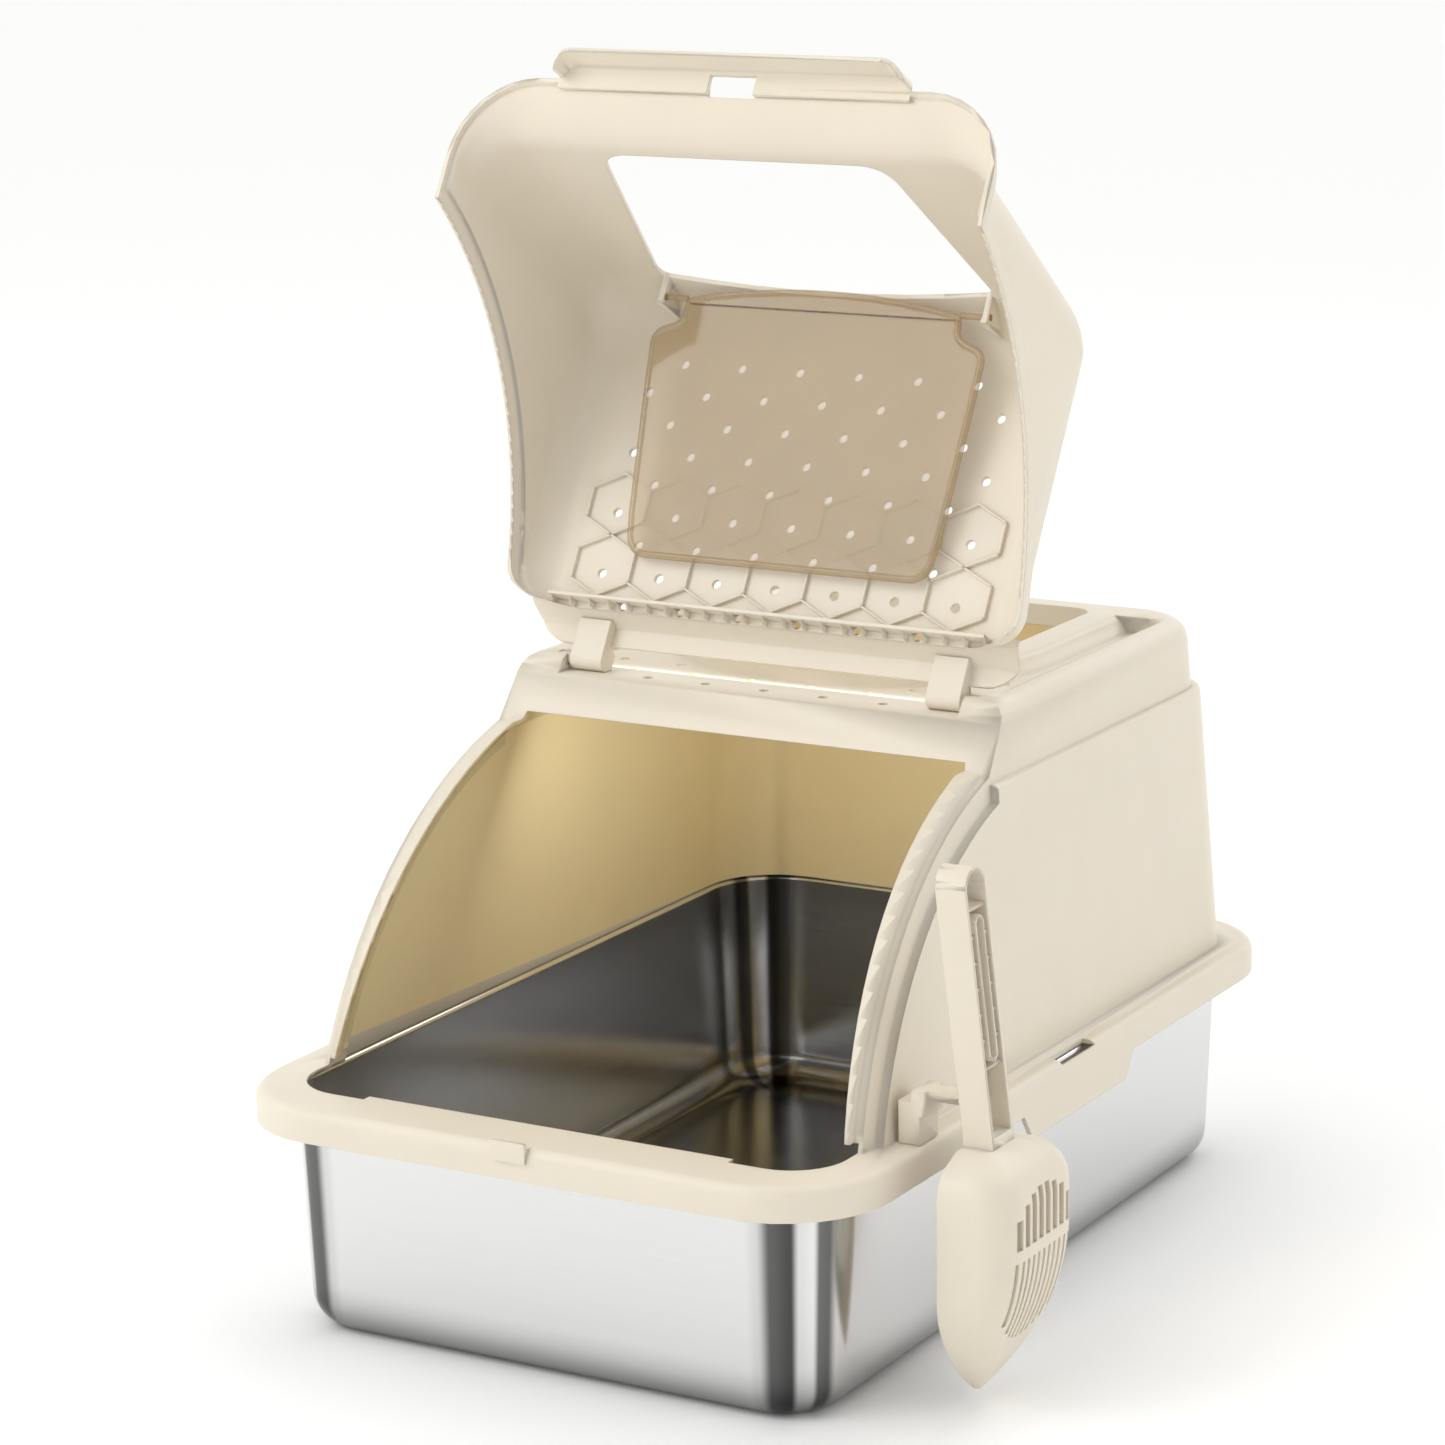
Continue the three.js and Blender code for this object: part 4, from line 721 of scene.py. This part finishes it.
class LITTERBOX_OT_scoop(Operator):
    """Slotted scoop and the holder it hangs on"""
    bl_idname = "litterbox.scoop"
    bl_label = "Scoop and holder"

    def execute(self, context):
        scoop = shell_copy("scoop", "scoop_moulding")
        finish_piece(scoop, cream_finish(), "scoop", "cream_plastic", "scoop")
        holder = shell_copy("scoop_holder", "scoop_holder_moulding")
        finish_piece(holder, cream_finish(), "hood", "cream_plastic", "scoop_holder")
        return {"FINISHED"}


# ---- Studio ----------------------------------------------------------------------------------


def soft_light(name, place, target, size, power):
    """An oblong softbox aimed at a point."""
    lamp = bpy.data.lights.new(name, "AREA")
    lamp.shape = "RECTANGLE"
    lamp.size, lamp.size_y = size
    lamp.energy = power
    holder = bpy.data.objects.new(name, lamp)
    holder.location = place
    aim = Vector(target) - Vector(place)
    holder.rotation_euler = aim.to_track_quat("-Z", "Y").to_euler()
    bpy.context.scene.collection.objects.link(holder)
    return holder


class LITTERBOX_OT_studio(Operator):
    """Pale floor, soft lights, bright surround and the camera"""
    bl_idname = "litterbox.studio"
    bl_label = "Studio"

    def execute(self, context):
        settings = context.scene.studio_settings
        scene = context.scene

        bm = bmesh.new()
        bmesh.ops.create_grid(bm, x_segments=1, y_segments=1, size=30)  # metres, past the view
        floor = mesh_object("studio_floor", bm)
        material, tree, shader = new_material("white_paper_floor")
        place = add_node(tree, "ShaderNodeTexCoord").outputs["Object"]
        fibre = add_node(tree, "ShaderNodeTexNoise", inputs={
            "Vector": place, "Scale": 1 / (2 * MM), "Detail": 2.0})
        rough = add_node(tree, "ShaderNodeMapRange", inputs={
            "Value": fibre.outputs[0], "To Min": 0.85, "To Max": 0.95})
        tree.links.new(rough.outputs[0], shader.inputs["Roughness"])
        shader.inputs["Base Color"].default_value = srgb("#FDFDFC")
        floor.data.materials.append(material)

        # Bright surround with two darker upright gaps, which the steel's corners reflect
        world = bpy.data.worlds.new("bright_studio")
        world.use_nodes = True
        tree = world.node_tree
        tree.nodes.clear()
        direction = add_node(tree, "ShaderNodeTexCoord").outputs["Generated"]
        split = add_node(tree, "ShaderNodeSeparateXYZ", inputs={0: direction}).outputs
        bearing = add_node(tree, "ShaderNodeMath", {"operation": "ARCTAN2"},
                           {0: split["X"], 1: split["Y"]}).outputs[0]
        turn = add_node(tree, "ShaderNodeMapRange", inputs={
            "Value": bearing, "From Min": -math.pi, "From Max": math.pi}).outputs[0]
        bands = add_node(tree, "ShaderNodeValToRGB", inputs={0: turn})
        set_greys(bands.color_ramp, (
            (0.0, 1.0), (0.78, 1.0), (0.80, 0.3), (0.83, 0.25), (0.84, 1.0), (0.865, 1.0),
            (0.885, 0.12), (0.96, 0.12), (1.0, 0.9)))
        light = add_node(tree, "ShaderNodeBackground", inputs={
            "Color": bands.outputs[0], "Strength": 1.12})
        add_node(tree, "ShaderNodeOutputWorld", inputs={"Surface": light.outputs[0]})
        scene.world = world
        scene.view_settings.view_transform = "Standard"

        # Each light's place, what it is aimed at, its size, and its share of the key's power
        lights = {
            "key_softbox": ((-1.6, -2.2, 2.6), (0, 0, 0.3), (1.8, 1.8), 1),
            "fill_softbox": ((2.6, -0.9, 1.7), (0, 0, 0.3), (1.2, 1.6), 0.06),
            "front_softbox": ((0.5, -3.2, 1.0), (0, 0, 0.2), (1.6, 0.9), 0.2),
            "hood_lift": ((0, -0.02, 0.30), (0, 0.25, 0.14), (0.26, 0.1), 0.007),
            "back_softbox": ((0.6, 2.4, 2.2), (0, 0, 0.4), (1.6, 1.2), 0.4),
        }
        for name, (place, target, size, share) in lights.items():
            lamp = soft_light(name, place, target, size, settings.key * share)
            # The weak lamp under the deck only lifts the shade; the polished pan does not show it
            lamp.visible_glossy = name != "hood_lift"

        lens = bpy.data.cameras.new("studio_camera")
        lens.lens = settings.lens
        lens.sensor_width = 36
        lens.clip_end = 100
        camera = bpy.data.objects.new("studio_camera", lens)
        scene.collection.objects.link(camera)
        turned = settings.azimuth
        level_part = math.cos(settings.tilt)
        ahead = Vector((-math.sin(turned) * level_part, math.cos(turned) * level_part,
                        -math.sin(settings.tilt)))
        level = Vector((math.cos(turned), math.sin(turned), 0))
        upright = level.cross(ahead)
        right = level * math.cos(settings.roll) + upright * math.sin(settings.roll)
        up = upright * math.cos(settings.roll) - level * math.sin(settings.roll)
        middle = Vector((-0.0547, 0.0323, 0.3047))
        place = middle - ahead * settings.distance
        axes = Matrix((right, up, -ahead)).transposed().to_4x4()
        camera.matrix_world = Matrix.Translation(place) @ axes
        scene.camera = camera
        return {"FINISHED"}


class LITTERBOX_PT_panel(Panel):
    """Sidebar panel that lists the sizes and the build steps"""
    bl_label = "Litter box"
    bl_idname = "LITTERBOX_PT_panel"
    bl_space_type = "VIEW_3D"
    bl_region_type = "UI"
    bl_category = "Litter box"

    def draw(self, context):
        layout = self.layout
        for attribute, group in SETTINGS.items():
            box = layout.box()
            box.label(text=group.__name__)
            for name in group.__annotations__:
                box.prop(getattr(context.scene, attribute), name)
        for operator in OPERATORS:
            layout.operator(operator.bl_idname)


SETTINGS = {
    "pan_sizes": PanSizes,
    "shell_finish": ShellFinish,
    "rib_sizes": RibSizes,
    "flap_sizes": FlapSizes,
    "studio_settings": StudioSettings,
}
OPERATORS = (LITTERBOX_OT_studio, LITTERBOX_OT_pan, LITTERBOX_OT_hood, LITTERBOX_OT_lid,
             LITTERBOX_OT_ribs, LITTERBOX_OT_flap, LITTERBOX_OT_scoop)


def register():
    for group in SETTINGS.values():
        bpy.utils.register_class(group)
    for attribute, group in SETTINGS.items():
        setattr(bpy.types.Scene, attribute, PointerProperty(type=group))
    for operator in OPERATORS:
        bpy.utils.register_class(operator)
    bpy.utils.register_class(LITTERBOX_PT_panel)


def unregister():
    bpy.utils.unregister_class(LITTERBOX_PT_panel)
    for operator in reversed(OPERATORS):
        bpy.utils.unregister_class(operator)
    for attribute, group in SETTINGS.items():
        delattr(bpy.types.Scene, attribute)
        bpy.utils.unregister_class(group)


def main():
    register()
    for operator in OPERATORS:
        group, step = operator.bl_idname.split(".")
        getattr(getattr(bpy.ops, group), step)()


if __name__ == "__main__":
    main()
